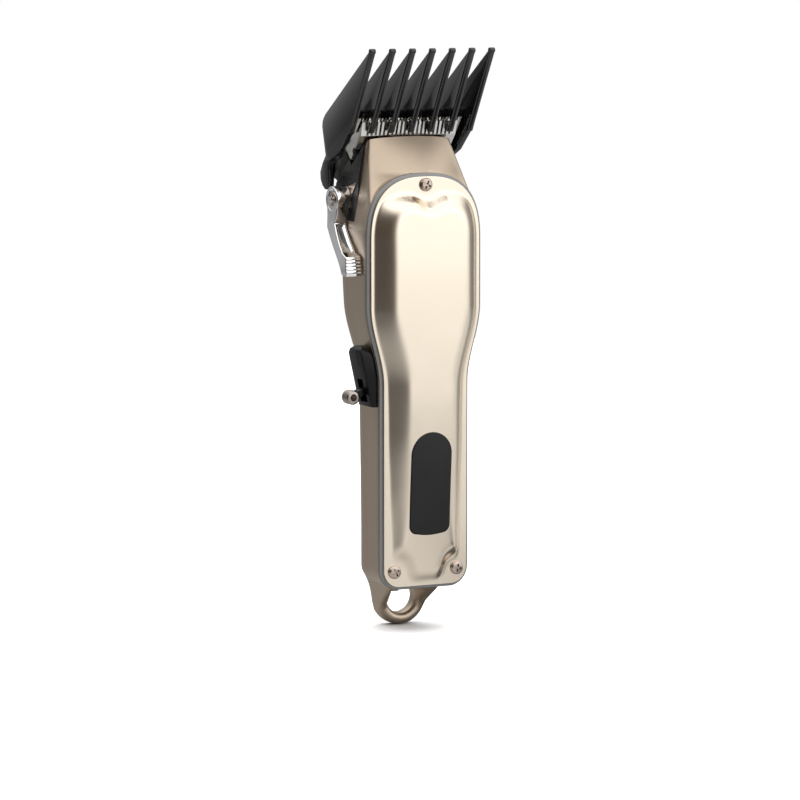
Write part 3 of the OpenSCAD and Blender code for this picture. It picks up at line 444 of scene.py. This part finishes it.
def finishPiece(piece, name, body, *stands, smooth=32):
    settle(piece)
    piece.name = name
    piece.data.name = name
    piece.data.materials.clear()
    piece.data.materials.append(materials[slotOf[stands[0]]])
    bpy.ops.object.shade_smooth_by_angle(angle=math.radians(smooth))
    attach(piece, body)
    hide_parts(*stands)
    print(name, "made with", len(piece.data.polygons), "faces")
    return piece


def clamp(t):
    return min(1, max(0, t))


def ease(t):
    t = clamp(t)
    return t * t * (3 - 2 * t)


def blendLow(a, b, reach):
    near = max(0, reach - abs(a - b)) / reach
    return min(a, b) - near * near * reach / 4


# ---- front outline of the body, shared by the cover, the trim and the housing ----

outline = {"foot": 7, "top": 150, "gripHalf": 16.1, "palmHalf": 21, "corner": 6, "arch": 23, "archPower": 2.6,
           "waistLow": 78.07, "waistHigh": 104.96, "seamY": -18.8, "faceY": -21.2, "trimLip": 1.2}


def sideHalf(z):
    rise = ease((z - outline["waistLow"]) / (outline["waistHigh"] - outline["waistLow"]))
    return outline["gripHalf"] + (outline["palmHalf"] - outline["gripHalf"]) * rise


def outlineHalf(z, grow=0):
    corner, arch = outline["corner"] + grow, outline["arch"] + grow
    foot, top, power = outline["foot"] - grow, outline["top"] + grow, outline["archPower"]
    side = sideHalf(z) + grow
    if z > top - arch:
        return side * max(0, 1 - clamp((z - top + arch) / arch) ** power) ** (1 / power)
    down = clamp((foot + corner - z) / corner)
    return side - corner + math.sqrt(max(0, corner * corner * (1 - down * down)))


# A point on the right half of the outline: share 0 is the middle of the foot, 1 the middle of the arch
def outlinePoint(share, grow):
    corner, arch = outline["corner"] + grow, outline["arch"] + grow
    foot, top, power = outline["foot"] - grow, outline["top"] + grow, outline["archPower"]
    low = outline["gripHalf"] + grow - corner
    if share < 0.05:
        return low * share / 0.05, foot
    if share < 0.13:
        turn = (share - 0.05) / 0.08 * math.pi / 2
        return low + corner * math.sin(turn), foot + corner * (1 - math.cos(turn))
    if share < 0.62:
        z = foot + corner + (top - arch - foot - corner) * (share - 0.13) / 0.49
        return sideHalf(z) + grow, z
    turn = (share - 0.62) / 0.38 * math.pi / 2
    return ((outline["palmHalf"] + grow) * math.cos(turn) ** (2 / power),
            top - arch + arch * math.sin(turn) ** (2 / power))


def outlineCorners(grow, steps, y):
    right = [outlinePoint(i / steps, grow) for i in range(steps + 1)]
    return [(x, y, z) for x, z in right] + [(-x, y, z) for x, z in reversed(right[1:-1])]


# ---- stamped cover ----

cover = {"thickness": 1.2, "domeHigh": 5.4, "domeLow": 1.7, "slopeWide": 7.0, "power": 1.9, "footEase": 0.07,
         "topScrew": (0, 147.2), "lowScrew": (12.2, 12.4), "topFoot": 144.3, "topDip": 2.6, "dipWide": 4.6,
         "lowClear": 5.3, "footZ": 9.1, "edge": 0.28, "holeRadius": 1.5}


def domeTop(z):
    return cover["domeLow"] + (cover["domeHigh"] - cover["domeLow"]) * blendLow((z - outline["foot"] - 1) / 55, 1, 0.22)


# How far the dome's foot line lies inside the edge
def rimWidth(z):
    return 1.95 - 0.65 * ease((z - 60) / 38) + 0.5 * ease((60 - z) / 20) + 1.1 * ease((42 - z) / 24)


def edgeDistance(x, z):
    base = outline["top"] - outline["arch"]
    if z > base:
        power = outline["archPower"]
        reach = ((abs(x) / outline["palmHalf"]) ** power + ((z - base) / outline["arch"]) ** power) ** (1 / power)
        return (1 - reach) * outline["palmHalf"] * (1 + 0.06 * (z - base) / outline["arch"])
    return sideHalf(z) - abs(x)


def rollUp(t):
    t = clamp(t + 0.02)
    soft = cover["footEase"]
    t = (math.sqrt(t * t + soft * soft) - soft) / (math.sqrt(1 + soft * soft) - soft)
    return 1 - (1 - t) ** cover["power"]


def domeHeight(x, z):
    wide = 2.6 + (cover["slopeWide"] - 2.6) * ease((z - 14) / 26)
    sides = (edgeDistance(x, z) - rimWidth(z)) / wide
    foot = cover["topFoot"] - cover["topDip"] * math.exp(-(x / cover["dipWide"]) ** 2)
    lowX, lowZ = cover["lowScrew"]
    if z > lowZ:
        low = math.hypot(abs(x) - lowX, z - lowZ) - cover["lowClear"]
        low = max(low, 4 * (z - lowZ - 12)) if z > lowZ + 10 else low
    else:
        low = (lowX - cover["lowClear"] - 0.52 * (lowZ - z) - abs(x)) * 0.9
    t = blendLow(sides, (foot - z) / 5.6, 0.75)
    t = blendLow(t, low / 2.8, 0.4)
    t = blendLow(t, (z - cover["footZ"]) / 2.4, 0.35)
    return domeTop(z) * rollUp(t) - 0.45 * ease((z - 112) / 40) * clamp(t)


def coverPoint(across, along):
    u = 2 * across - 1
    u = u * (1 + 0.28 * (1 - u * u))
    foot, top, corner, arch = outline["foot"], outline["top"], outline["corner"], outline["arch"]
    if along < 0.06:
        turn = along / 0.06 * math.pi / 2
        z = foot + corner * (1 - math.cos(turn))
        x = (outline["gripHalf"] - corner + corner * math.sin(turn)) * u
    elif along < 0.74:
        z = foot + corner + (top - arch - foot - corner) * (along - 0.06) / 0.68
        x = sideHalf(z) * u
    else:
        rise, power = (along - 0.74) / 0.26, outline["archPower"]
        x = outline["palmHalf"] * u * (1 - rise ** power / 2) ** (1 / power)
        z = top - arch + arch * rise * (1 - abs(u) ** power / 2) ** (1 / power)
    return x, outline["faceY"] - domeHeight(x, z), z


window = {"half": 7.7, "length": 36, "lowRound": 3, "lowSag": 0.5, "foot": 25.3, "proud": 0.2, "gap": 0.22,
          "edge": 0.3, "depth": 1.6}
window["tilt"] = math.atan((cover["domeHigh"] - cover["domeLow"]) / 55)


def windowCorners(grow, out):
    half, length = window["half"] + grow, window["length"] + grow
    low = window["lowRound"]
    flat = [((half - low) * k / 3, -grow + window["lowSag"] * (k / 3) ** 2) for k in range(3)]
    flat += [(half - low + low * math.sin(math.radians(a)), low + window["lowSag"] - grow - low * math.cos(math.radians(a)))
             for a in range(0, 91, 15)]
    flat += [(half * math.cos(math.radians(a)), length - half + half * math.sin(math.radians(a)))
             for a in range(0, 91, 6)]
    flat += [(-x, z) for x, z in reversed(flat[1:-1])]
    tilt, start = window["tilt"], outline["faceY"] - domeTop(window["foot"])
    return [(x, start - z * math.sin(tilt) - out * math.cos(tilt), window["foot"] + z * math.cos(tilt) - out * math.sin(tilt))
            for x, z in flat]


def windowPush(far):
    return (0, -far * math.cos(window["tilt"]), -far * math.sin(window["tilt"]))


def makeCover():
    shell = drape(100, 250, coverPoint)
    middle = shell.data.polygons[len(shell.data.polygons) // 2]
    if middle.normal.y > 0:
        selectOnly(shell)
        bpy.ops.object.mode_set(mode="EDIT")
        bpy.ops.mesh.select_all(action="SELECT")
        bpy.ops.mesh.flip_normals()
        bpy.ops.object.mode_set(mode="OBJECT")
    shape(shell, "SMOOTH", factor=0.5, iterations=24, use_x=False, use_z=False)
    shape(shell, "SOLIDIFY", thickness=cover["thickness"] * mm, offset=-1, use_even_offset=False)
    soften(shell, cover["edge"], 2, 60)
    hole = plate(windowCorners(window["gap"], 2), windowPush(-6))
    screws = [cover["topScrew"], cover["lowScrew"], (-cover["lowScrew"][0], cover["lowScrew"][1])]
    bores = [rod((x, -24, z), (x, -18, z), cover["holeRadius"], 24) for x, z in screws]
    cut(shell, join(hole, *bores))
    return finishPiece(shell, "stampedCover", "chassis", "front_cover", smooth=38)


def makeWindow():
    pane = plate(windowCorners(0, window["proud"]), windowPush(-window["depth"]))
    soften(pane, window["edge"], 3, 50)
    return finishPiece(pane, "windowPane", "chassis", "display_window")


makeCover()
makeWindow()

# ---- grey trim between cover and housing ----

trim = {"inner": -3.4, "edge": 0.22, "steps": 150}


def makeTrim():
    low, high = outline["seamY"] - 1.2, outline["seamY"]
    lip, edge = outline["trimLip"], trim["edge"]
    section = [(trim["inner"], high), (trim["inner"], low), (lip - edge, low), (lip - edge * 0.3, low + edge * 0.3),
               (lip, low + edge), (lip, high)]

    def point(around, across):
        grow, y = section[round(across * len(section)) % len(section)]
        turn = 2 * around
        x, z = outlinePoint(turn, grow) if turn <= 1 else outlinePoint(2 - turn, grow)
        return (x if turn <= 1 else -x), y, z

    ring = drape(trim["steps"] * 2, len(section), point, closed=True)
    return finishPiece(ring, "seamTrim", "chassis", "seam_trim")


makeTrim()

# ---- housing with its nose and hanging loop ----

housing = {"shoulder": 131, "slope": 141, "noseTop": 163.6, "noseHalf": 15.6, "noseY": -8.2, "draft": 0.12,
           "wall": 2.2, "cavityY": -10, "stepZ": 134, "stepY": -6, "cheek": 13.95, "bladeClear": -4.1,
           "backPower": 2 / 2.7, "edge": 0.5}
blade = {"tip": (0, -9.5, 169.8), "lean": math.radians(42)}


def onBlade(x, s, h):
    lean = blade["lean"]
    return (x, blade["tip"][1] + s * math.sin(lean) + h * math.cos(lean),
            blade["tip"][2] - s * math.cos(lean) + h * math.sin(lean))


def bodyHalf(z):
    if z < housing["shoulder"]:
        return outlineHalf(min(z, housing["shoulder"] - 4), outline["trimLip"])
    full = outline["palmHalf"] + outline["trimLip"]
    return full - (full - housing["noseHalf"]) * (z - housing["shoulder"]) / (housing["noseTop"] - housing["shoulder"])


def backY(z):
    foot = clamp((11.8 - z) / 6)
    return (outline["seamY"] + 24.8 + 1.7 * ease((z - 22) / 65) + 5.5 * ease((z - 77) / 45)
            - 6 * (1 - math.sqrt(1 - foot * foot)))


def frontY(u, z):
    seam = outline["seamY"]
    edge = seam + (housing["noseY"] - seam) * clamp((z - housing["slope"]) / (housing["noseTop"] - housing["slope"]))
    middle = seam + (housing["noseY"] - 0.9 - seam) * clamp((z - 151.2) / (housing["noseTop"] - 151.2))
    return edge + (middle - edge) * (1 - u * u)


# One level of the housing, as a closed ring from the middle of its back
def bodyRing(z):
    half, back, front = bodyHalf(z), backY(z), frontY(1, z)
    start = min(back - 6, max(front + 2, back - 14))
    rear = half - housing["draft"] * (start - front)
    round1, power = housing["edge"] * (1 + 1.2 * ease((z - 135) / 15)), housing["backPower"]
    arc = [(rear * math.cos(a) ** power if a < math.pi / 2 - 1e-6 else 0.0,
            start + (back - start) * math.sin(a) ** power) for a in [math.pi / 2 * k / 18 for k in range(18, -1, -1)]]
    side = [(rear + (half - rear) * k / 5, start + (front + round1 - start) * k / 5) for k in range(1, 5)]
    corner = [(half - round1 * (1 - math.cos(t)), front + round1 * (1 - math.sin(t)))
              for t in [math.pi / 2 * k / 4 for k in range(5)]]
    inner = half - round1
    face = [(inner * u, frontY(u, z) + (frontY(1, z) - frontY(inner / half, z)) * 0) for u in [1 - k / 8 for k in range(1, 9)]]
    right = arc + side + corner + face
    return [(x, y, z) for x, y in right] + [(-x, y, z) for x, y in reversed(right[1:-1])]


def makeHousing():
    foot = outline["foot"] - outline["trimLip"]
    levels = [foot + 8 * (k / 16) ** 1.6 for k in range(17)]
    levels += [foot + 8 + (housing["shoulder"] - 8 - foot) * k / 72 for k in range(1, 73)]
    levels += [housing["shoulder"] + (housing["noseTop"] + 2 - housing["shoulder"]) * k / 36 for k in range(1, 37)]
    rings = [bodyRing(z) for z in levels]
    count = len(rings[0])
    body = drape(count, len(levels) - 1, lambda around, along:
                 rings[round(along * (len(levels) - 1))][round(around * count) % count], capped=True)
    land = plate([p for p in outlineCorners(1.1, 60, outline["seamY"]) if p[2] > 133], (0, 4, 0))
    cut(body, land, way="UNION")
    cut(body, makeLoop(), way="UNION")
    rooms = [plate([(x, y, z) for x, z in cavityOutline(inset)], (0, depth, 0))
             for inset, y, depth in [(housing["wall"] + 1, outline["seamY"] - 1, 1 + housing["cavityY"] - outline["seamY"]),
                                     (housing["wall"] + 4.8, housing["cavityY"] - 0.5, 13)]]
    rooms.append(block((-12.5, -11, 91), (12.5, 5.8, 125)))
    cheek = housing["cheek"]
    rooms.append(plate([(-cheek, y, z) for y, z in [(-15.6, 130), (-15.6, 141), (-6.7, 164.6), (20, 164.6), (20, 130)]],
                       (2 * cheek, 0, 0)))
    rooms.append(block((-30, housing["stepY"], housing["stepZ"]), (30, 30, 170)))
    rooms.append(plate([onBlade(-30, s, h) for s, h in [(-30, housing["bladeClear"]), (40, housing["bladeClear"]), (40, 30),
                                                        (-30, 30)]], (60, 0, 0)))
    rooms.append(switchPocket())
    rooms.append(block((-3.9, -15.2, 2), (3.9, -6.8, 12)))
    cut(body, *rooms)
    return finishPiece(body, "housingShell", "chassis", "housing", smooth=33)


def cavityOutline(inset):
    heights = [10 + (housing["shoulder"] - 9) * k / 24 for k in range(25)]
    right = [(bodyHalf(z) - inset, z) for z in heights]
    return right + [(-x, z) for x, z in reversed(right)]


loop = {"outer": 9.7, "hole": 5.6, "thick": 6.5, "edge": 1.9, "flare": 9.5}


def makeLoop():
    outer = loop["outer"]
    right = [(outer * math.sin(math.radians(a)), -outer * math.cos(math.radians(a))) for a in range(0, 64, 7)]
    right += [(9.35, -1.6), (9.75, 1.0), (10.2, 3.2), (10.8, 5.2), (11.6, 7.0), (12.4, 8.7), (12.9, 10.6), (13.0, 13)]
    corners = [(x, -loop["thick"] / 2, z) for x, z in right] + [(-x, -loop["thick"] / 2, z) for x, z in reversed(right[1:])]
    ring = plate(corners, (0, loop["thick"], 0))
    cut(ring, rod((0, -5, 0), (0, 5, 0), loop["hole"], 56))
    soften(ring, loop["edge"], 4, 50)
    for vertex in ring.data.vertices:
        if vertex.co.y < 0:
            spread = ease((vertex.co.z / mm + 4) / 10) * ease((abs(vertex.co.x) / mm - 4.6) / 4)
            vertex.co.y -= loop["flare"] * mm * spread
    return ring


# ---- power toggle on the left side ----

switch = {"low": 70.2, "high": 91.5, "front": -18.5, "rear": -8, "inner": -15.8, "round": 3.6, "edge": 0.45,
          "barrel": 1.6, "arm": 7.4, "rest": 23, "barFront": -14.7, "barRear": -11.3}
knob = {"radius": 2.55, "front": -15.4, "rear": -10.6, "ridge": 0.55, "groove": 0.16, "hole": 1.25}


def switchOutline(grow):
    low, high = switch["low"] - grow, switch["high"] + grow
    front, rear, r = switch["front"] - grow, switch["rear"] + grow, switch["round"] + grow
    return ([(front, low), (rear, low)]
            + [(rear - r + r * math.cos(math.radians(a)), high - r + r * math.sin(math.radians(a))) for a in range(0, 91, 15)]
            + [(front + r - r * math.sin(math.radians(a)), high - r + r * math.cos(math.radians(a)))
               for a in range(0, 91, 15)])


def switchPocket():
    return plate([(-30, y, z) for y, z in switchOutline(0.05)], (30 + switch["inner"] + 0.05, 0, 0))


def switchFace(z):
    return -19.4 - (z - switch["low"]) * 0.2207


def makeSwitch():
    base = plate([(-30, y, z) for y, z in switchOutline(0)], (30 + switch["inner"], 0, 0))
    low, high, inner = switch["low"], switch["high"], switch["inner"]
    wedge = plate([(x, -30, z) for x, z in [(inner + 1, low - 1), (switchFace(low - 1), low - 1),
                                            (switchFace(high - 2.6), high - 2.6), (switchFace(high - 1.2) + 0.45, high - 1.2),
                                            (switchFace(high) + 1.9, high + 0.1), (inner + 1, high + 0.1)]], (0, 40, 0))
    cut(base, wedge, way="INTERSECT")
    soften(base, switch["edge"], 3, 40)
    axisX, axisZ = joints["toggle_flip"]["pos_m"][0] * 1000, joints["toggle_flip"]["pos_m"][2] * 1000
    cut(base, block((-30, switch["barFront"] - 0.35, axisZ - 3.3), (-17.2, switch["barRear"] + 0.35, axisZ + 3.3)),
        block((axisX - 2.4, -15.7, low + 1.6), (axisX + switch["barrel"] + 0.15, -10.3, low + 11)),
        rod((axisX, -17.2, axisZ), (axisX, -7, axisZ), 0.79, 24))
    # thumb groove up the base's outer face
    cut(base, block((switchFace(88) - 3, -14.9, 83), (switchFace(86) + 0.35, -14.55, 90)))
    finishPiece(base, "switchBase", "chassis", "switch_base")

    def turned(piece):
        turn = Matrix.Rotation(math.radians(-switch["rest"]), 4, "Y")
        there = Matrix.Translation(Vector((axisX, 0, axisZ)) * mm)
        piece.data.transform(there @ turn)
        return piece

    bar = cut(rod((0, switch["barFront"], 0), (0, switch["barRear"], 0), switch["barrel"]),
              block((-switch["arm"] + knob["radius"] - 0.3, switch["barFront"], -1.2), (0.2, switch["barRear"], 1.2)), way="UNION")
    soften(bar, 0.2, 2, 50)
    cut(bar, rod((0, -20, 0), (0, -5, 0), 0.83, 24))
    finishPiece(turned(bar), "toggleBar", "toggle", "switch_toggle")

    front, rear, radius = knob["front"], knob["rear"], knob["radius"]
    rings = [(front, radius - 0.55), (front + 0.12, radius - 0.3), (front + 0.4, radius - 0.05), (front + 0.85, radius)]
    count = round((rear - front - 1.7) / knob["ridge"])
    for k in range(count):
        start = front + 0.85 + (rear - front - 1.5) * k / count
        rings += [(start + 0.06, radius - knob["groove"]), (start + 0.2, radius - knob["groove"]), (start + 0.26, radius),
                  (start + 0.42, radius)]
    rings += [(rear - 0.5, radius), (rear - 0.1, radius - 0.2), (rear, radius - 0.5)]

    def onKnob(around, along):
        y, r = rings[round(along * (len(rings) - 1))]
        turn = around * 2 * math.pi
        return -switch["arm"] + r * math.cos(turn), y, r * math.sin(turn)

    grip = drape(64, len(rings) - 1, onKnob, capped=True)
    cut(grip, rod((-switch["arm"], front - 1, 0), (-switch["arm"], rear - 0.6, 0), knob["hole"], 32))
    finishPiece(turned(grip), "toggleKnob", "toggle", "toggle_knob", smooth=28)


makeHousing()
makeSwitch()

# ---- taper lever ----

lever = {"pivot": tuple(v * 1000 for v in joints["taper_swing"]["pos_m"]), "outX": -24.4, "inX": -18.95, "boss": 4.7,
         "padLow": -28.5, "padHigh": -22.35, "edge": 0.45, "shaft": 3.24, "ribs": 5, "cam": 2.193, "pin": 1.0}


def makeLever():
    out = lever["outX"]
    px, py, pz = lever["pivot"]
    # front edge and rear edge as y and z, then outer and inner x, at each station down the lever
    stations = [((-1.0, 140.5), (7.3, 140.5), out + 0.2, -19.2), ((-0.6, 136.4), (7.2, 135.6), out + 0.2, -19.4),
                ((0.8, 133.2), (6.6, 131.6), out - 0.2, -19.9), ((-2.2, 130.2), (2.9, 128.2), out - 0.9, -20.5),
                ((-6.2, 127.0), (-1.9, 124.7), out - 1.9, -21.2), ((-11.2, 123.6), (-7.2, 121.3), out - 3.0, -21.9),
                ((-15.6, 122.6), (-11.3, 118.3), lever["padLow"] + 0.2, lever["padHigh"]),
                ((-16.4, 115.7), (-12.7, 116.2), lever["padLow"], lever["padHigh"])]

    def point(around, along):
        front, rear, x0, x1 = stations[round(along * (len(stations) - 1))]
        (y, z), x = [(front, x0), (rear, x0), (rear, x1), (front, x1)][round(around * 4) % 4]
        return x, y, z

    arm = drape(4, len(stations) - 1, point, capped=True)
    # hollow panel in the arm's front
    selectOnly(arm)
    bpy.ops.object.mode_set(mode="EDIT")
    bpy.ops.mesh.select_mode(type="FACE")
    bpy.ops.mesh.select_all(action="DESELECT")
    bpy.ops.object.mode_set(mode="OBJECT")
    for face in arm.data.polygons:
        face.select = face.normal.y < -0.2 and 123.2 < face.center.z / mm < 132.2
    bpy.ops.object.mode_set(mode="EDIT")
    bpy.ops.mesh.inset(thickness=0.9 * mm, depth=0)
    bpy.ops.mesh.inset(thickness=0.4 * mm, depth=-0.7 * mm)
    bpy.ops.object.mode_set(mode="OBJECT")
    soften(arm, lever["edge"], 3, 28)
    boss = rod((out, py, pz), (lever["inX"], py, pz), lever["boss"], 64)
    cut(boss, rod((out - 1, py, pz), (out + 1.4, py, pz), lever["boss"] - 1.0, 56))
    soften(boss, 0.4, 3, 50)
    cut(boss, arm, way="UNION")
    ribs = []
    for k in range(lever["ribs"]):
        z = 121.7 - 1.15 * k
        y = -15.72 - 0.116 * (121.7 - z)
        ribs.append(plate([(lever["padLow"] + 0.5, y + a, z + b) for a, b in
                           [(0.4, -0.42), (-0.3, -0.3), (-0.5, 0), (-0.3, 0.3), (0.4, 0.42)]],
                          (lever["padHigh"] - lever["padLow"] - 1, 0, 0)))
    shaft = rod((lever["inX"] - 0.3, py, pz), (-13.7, py, pz), lever["shaft"], 48)
    turn = math.radians(42 - 20)
    camY, camZ = py - lever["cam"] * math.cos(turn), pz - lever["cam"] * math.sin(turn)
    pin = rod((-13.9, camY, camZ), (-11.5, camY, camZ), lever["pin"], 32)
    boss = join(boss, shaft, pin, *ribs)
    cut(boss, rod((out - 1, py, pz), (-14.9, py, pz), 1.25, 32))
    finishPiece(boss, "taperLever", "lever", "taper_lever", smooth=30)


# Pan-head cross screw: head seat at the origin, head towards -Y, shank towards +Y
def panScrew(headRadius, headHigh, shankRadius, length, turn):
    head = rod((0, -headHigh, 0), (0, 0, 0), headRadius, 48)
    selectOnly(head)
    bpy.ops.object.mode_set(mode="EDIT")
    bpy.ops.mesh.select_mode(type="EDGE")
    bpy.ops.mesh.select_all(action="DESELECT")
    bpy.ops.object.mode_set(mode="OBJECT")
    for edge in head.data.edges:
        a, b = (head.data.vertices[i].co.y for i in edge.vertices)
        edge.select = max(a, b) < -headHigh * mm * 0.9
    bpy.ops.object.mode_set(mode="EDIT")
    bpy.ops.mesh.bevel(offset=headHigh * 0.75 * mm, segments=5, affect="EDGES")
    bpy.ops.object.mode_set(mode="OBJECT")
    arms = [block((-headRadius * 0.62, -headHigh - 1, -headRadius * 0.14), (headRadius * 0.62, -headHigh * 0.35, headRadius * 0.14))
            for k in range(2)]
    arms[1].data.transform(Matrix.Rotation(math.pi / 2, 4, "Y"))
    for arm in arms:
        arm.data.transform(Matrix.Rotation(math.radians(turn), 4, "Y"))
    cut(head, *arms)
    shank = rod((0, -0.2, 0), (0, length, 0), shankRadius, 24)
    return join(head, shank)


screw = {"radius": 2.4, "high": 1.25, "shank": 1.28, "turns": (25, 60, 10)}


def makeScrews():
    places = [(cover["topScrew"][0], cover["topScrew"][1]), (-cover["lowScrew"][0], cover["lowScrew"][1]),
              (cover["lowScrew"][0], cover["lowScrew"][1])]
    made = []
    for (x, z), turn in zip(places, screw["turns"]):
        one = panScrew(screw["radius"], screw["high"], screw["shank"], 8, turn)
        one.data.transform(Matrix.Translation(Vector((x, outline["faceY"], z)) * mm))
        made.append(one)
    finishPiece(join(*made), "coverScrews", "chassis", "cover_screws")
    one = panScrew(3.0, 1.25, 1.2, 6, 35)
    px, py, pz = lever["pivot"]
    one.data.transform(Matrix.Translation(Vector((lever["outX"] + 1.4, py, pz)) * mm) @ Matrix.Rotation(math.radians(-90), 4, "Z"))
    finishPiece(one, "leverScrew", "lever", "lever_screw")


makeLever()
makeScrews()

# ---- guide comb ----

comb = {"fins": 7, "pitch": 7.7, "thick": 2.2, "edge": 0.32, "baseLow": 2.8, "baseThick": 1.6, "tipRadius": 0.95,
        "tongues": [(-18.4, 2.6, 3.4), (0, 5.6, 2.0), (18.4, 2.6, 3.4)],
        "tab": [(18, 3.4), (18, 6.5), (27.5, 6.4), (31.2, 5.6), (33.0, 3.6), (33.6, 1.0), (33.2, -1.2), (31.8, -2.6),
                (29.8, -2.8), (28.2, -1.6), (26.4, 1.0), (23.5, 3.0)]}


def finCorners(outer):
    tip = [(-28.7 + comb["tipRadius"] * math.cos(math.radians(a)), 3.45 + comb["tipRadius"] * math.sin(math.radians(a)))
           for a in range(-60, -331, -30)]
    foot = [(3.1 + 0.75 * math.cos(math.radians(a)), -3.2 + 0.75 * math.sin(math.radians(a))) for a in (-110, -60, -10)]
    back = [(8.5, 13.45), (11.2, 14.15), (13.2, 14.35), (14.9, 14.0), (16.3, 13.1), (22.6, 3.4)]
    if outer:
        low = [(22.2, 2.0), (20.6, 0.6), (13.9, -2.2)]
    else:
        low = [(22.0, comb["baseLow"]), (-1.2, comb["baseLow"]), (-1.2, -2.35), (3.6, -2.35)]
    return tip + back + low + foot[::-1] + [(-1.2, -2.95)]


def makeComb():
    fins = []
    for outer in (True, False):
        fin = plate([onBlade(-comb["thick"] / 2, s, h) for s, h in finCorners(outer)], (comb["thick"], 0, 0))
        soften(fin, comb["edge"], 2, 40)
        fins.append(fin)
    outerFin, innerFin = fins
    pieces = [copyOf(outerFin, (-3 * comb["pitch"], 0, 0)), copyOf(outerFin, (3 * comb["pitch"], 0, 0))]
    pieces += [copyOf(innerFin, (k * comb["pitch"], 0, 0)) for k in range(-2, 3)]
    for fin in fins:
        bpy.data.objects.remove(fin)
    low, high = comb["baseLow"], comb["baseLow"] + comb["baseThick"]
    half = 3 * comb["pitch"]
    base = plate([onBlade(-half, s, h) for s, h in [(-0.8, low), (-0.8, high - 0.5), (-0.3, high), (20.4, high), (20.4, low)]],
                 (2 * half, 0, 0))
    soften(base, 0.25, 2, 40)
    pieces.append(base)
    for x, halfWide, thick in comb["tongues"]:
        r = thick / 2
        end = [(31.4 + r * math.cos(math.radians(a)), low + r + r * math.sin(math.radians(a))) for a in range(-90, 91, 30)]
        tongue = plate([onBlade(x - halfWide, s, h) for s, h in [(19.6, low)] + end + [(19.6, low + thick)]],
                       (2 * halfWide, 0, 0))
        soften(tongue, 0.35, 2, 40)
        pieces.append(tongue)
        if x:
            side = 1 if x > 0 else -1
            tab = plate([onBlade(side * 20.7, s, h) for s, h in comb["tab"]], (side * 2.2, 0, 0))
            soften(tab, 0.5, 3, 40)
            pieces.append(tab)
    whole = cut(pieces[0], *pieces[1:], way="UNION")
    finishPiece(whole, "guideComb", "comb", "guide_comb", smooth=30)


makeComb()
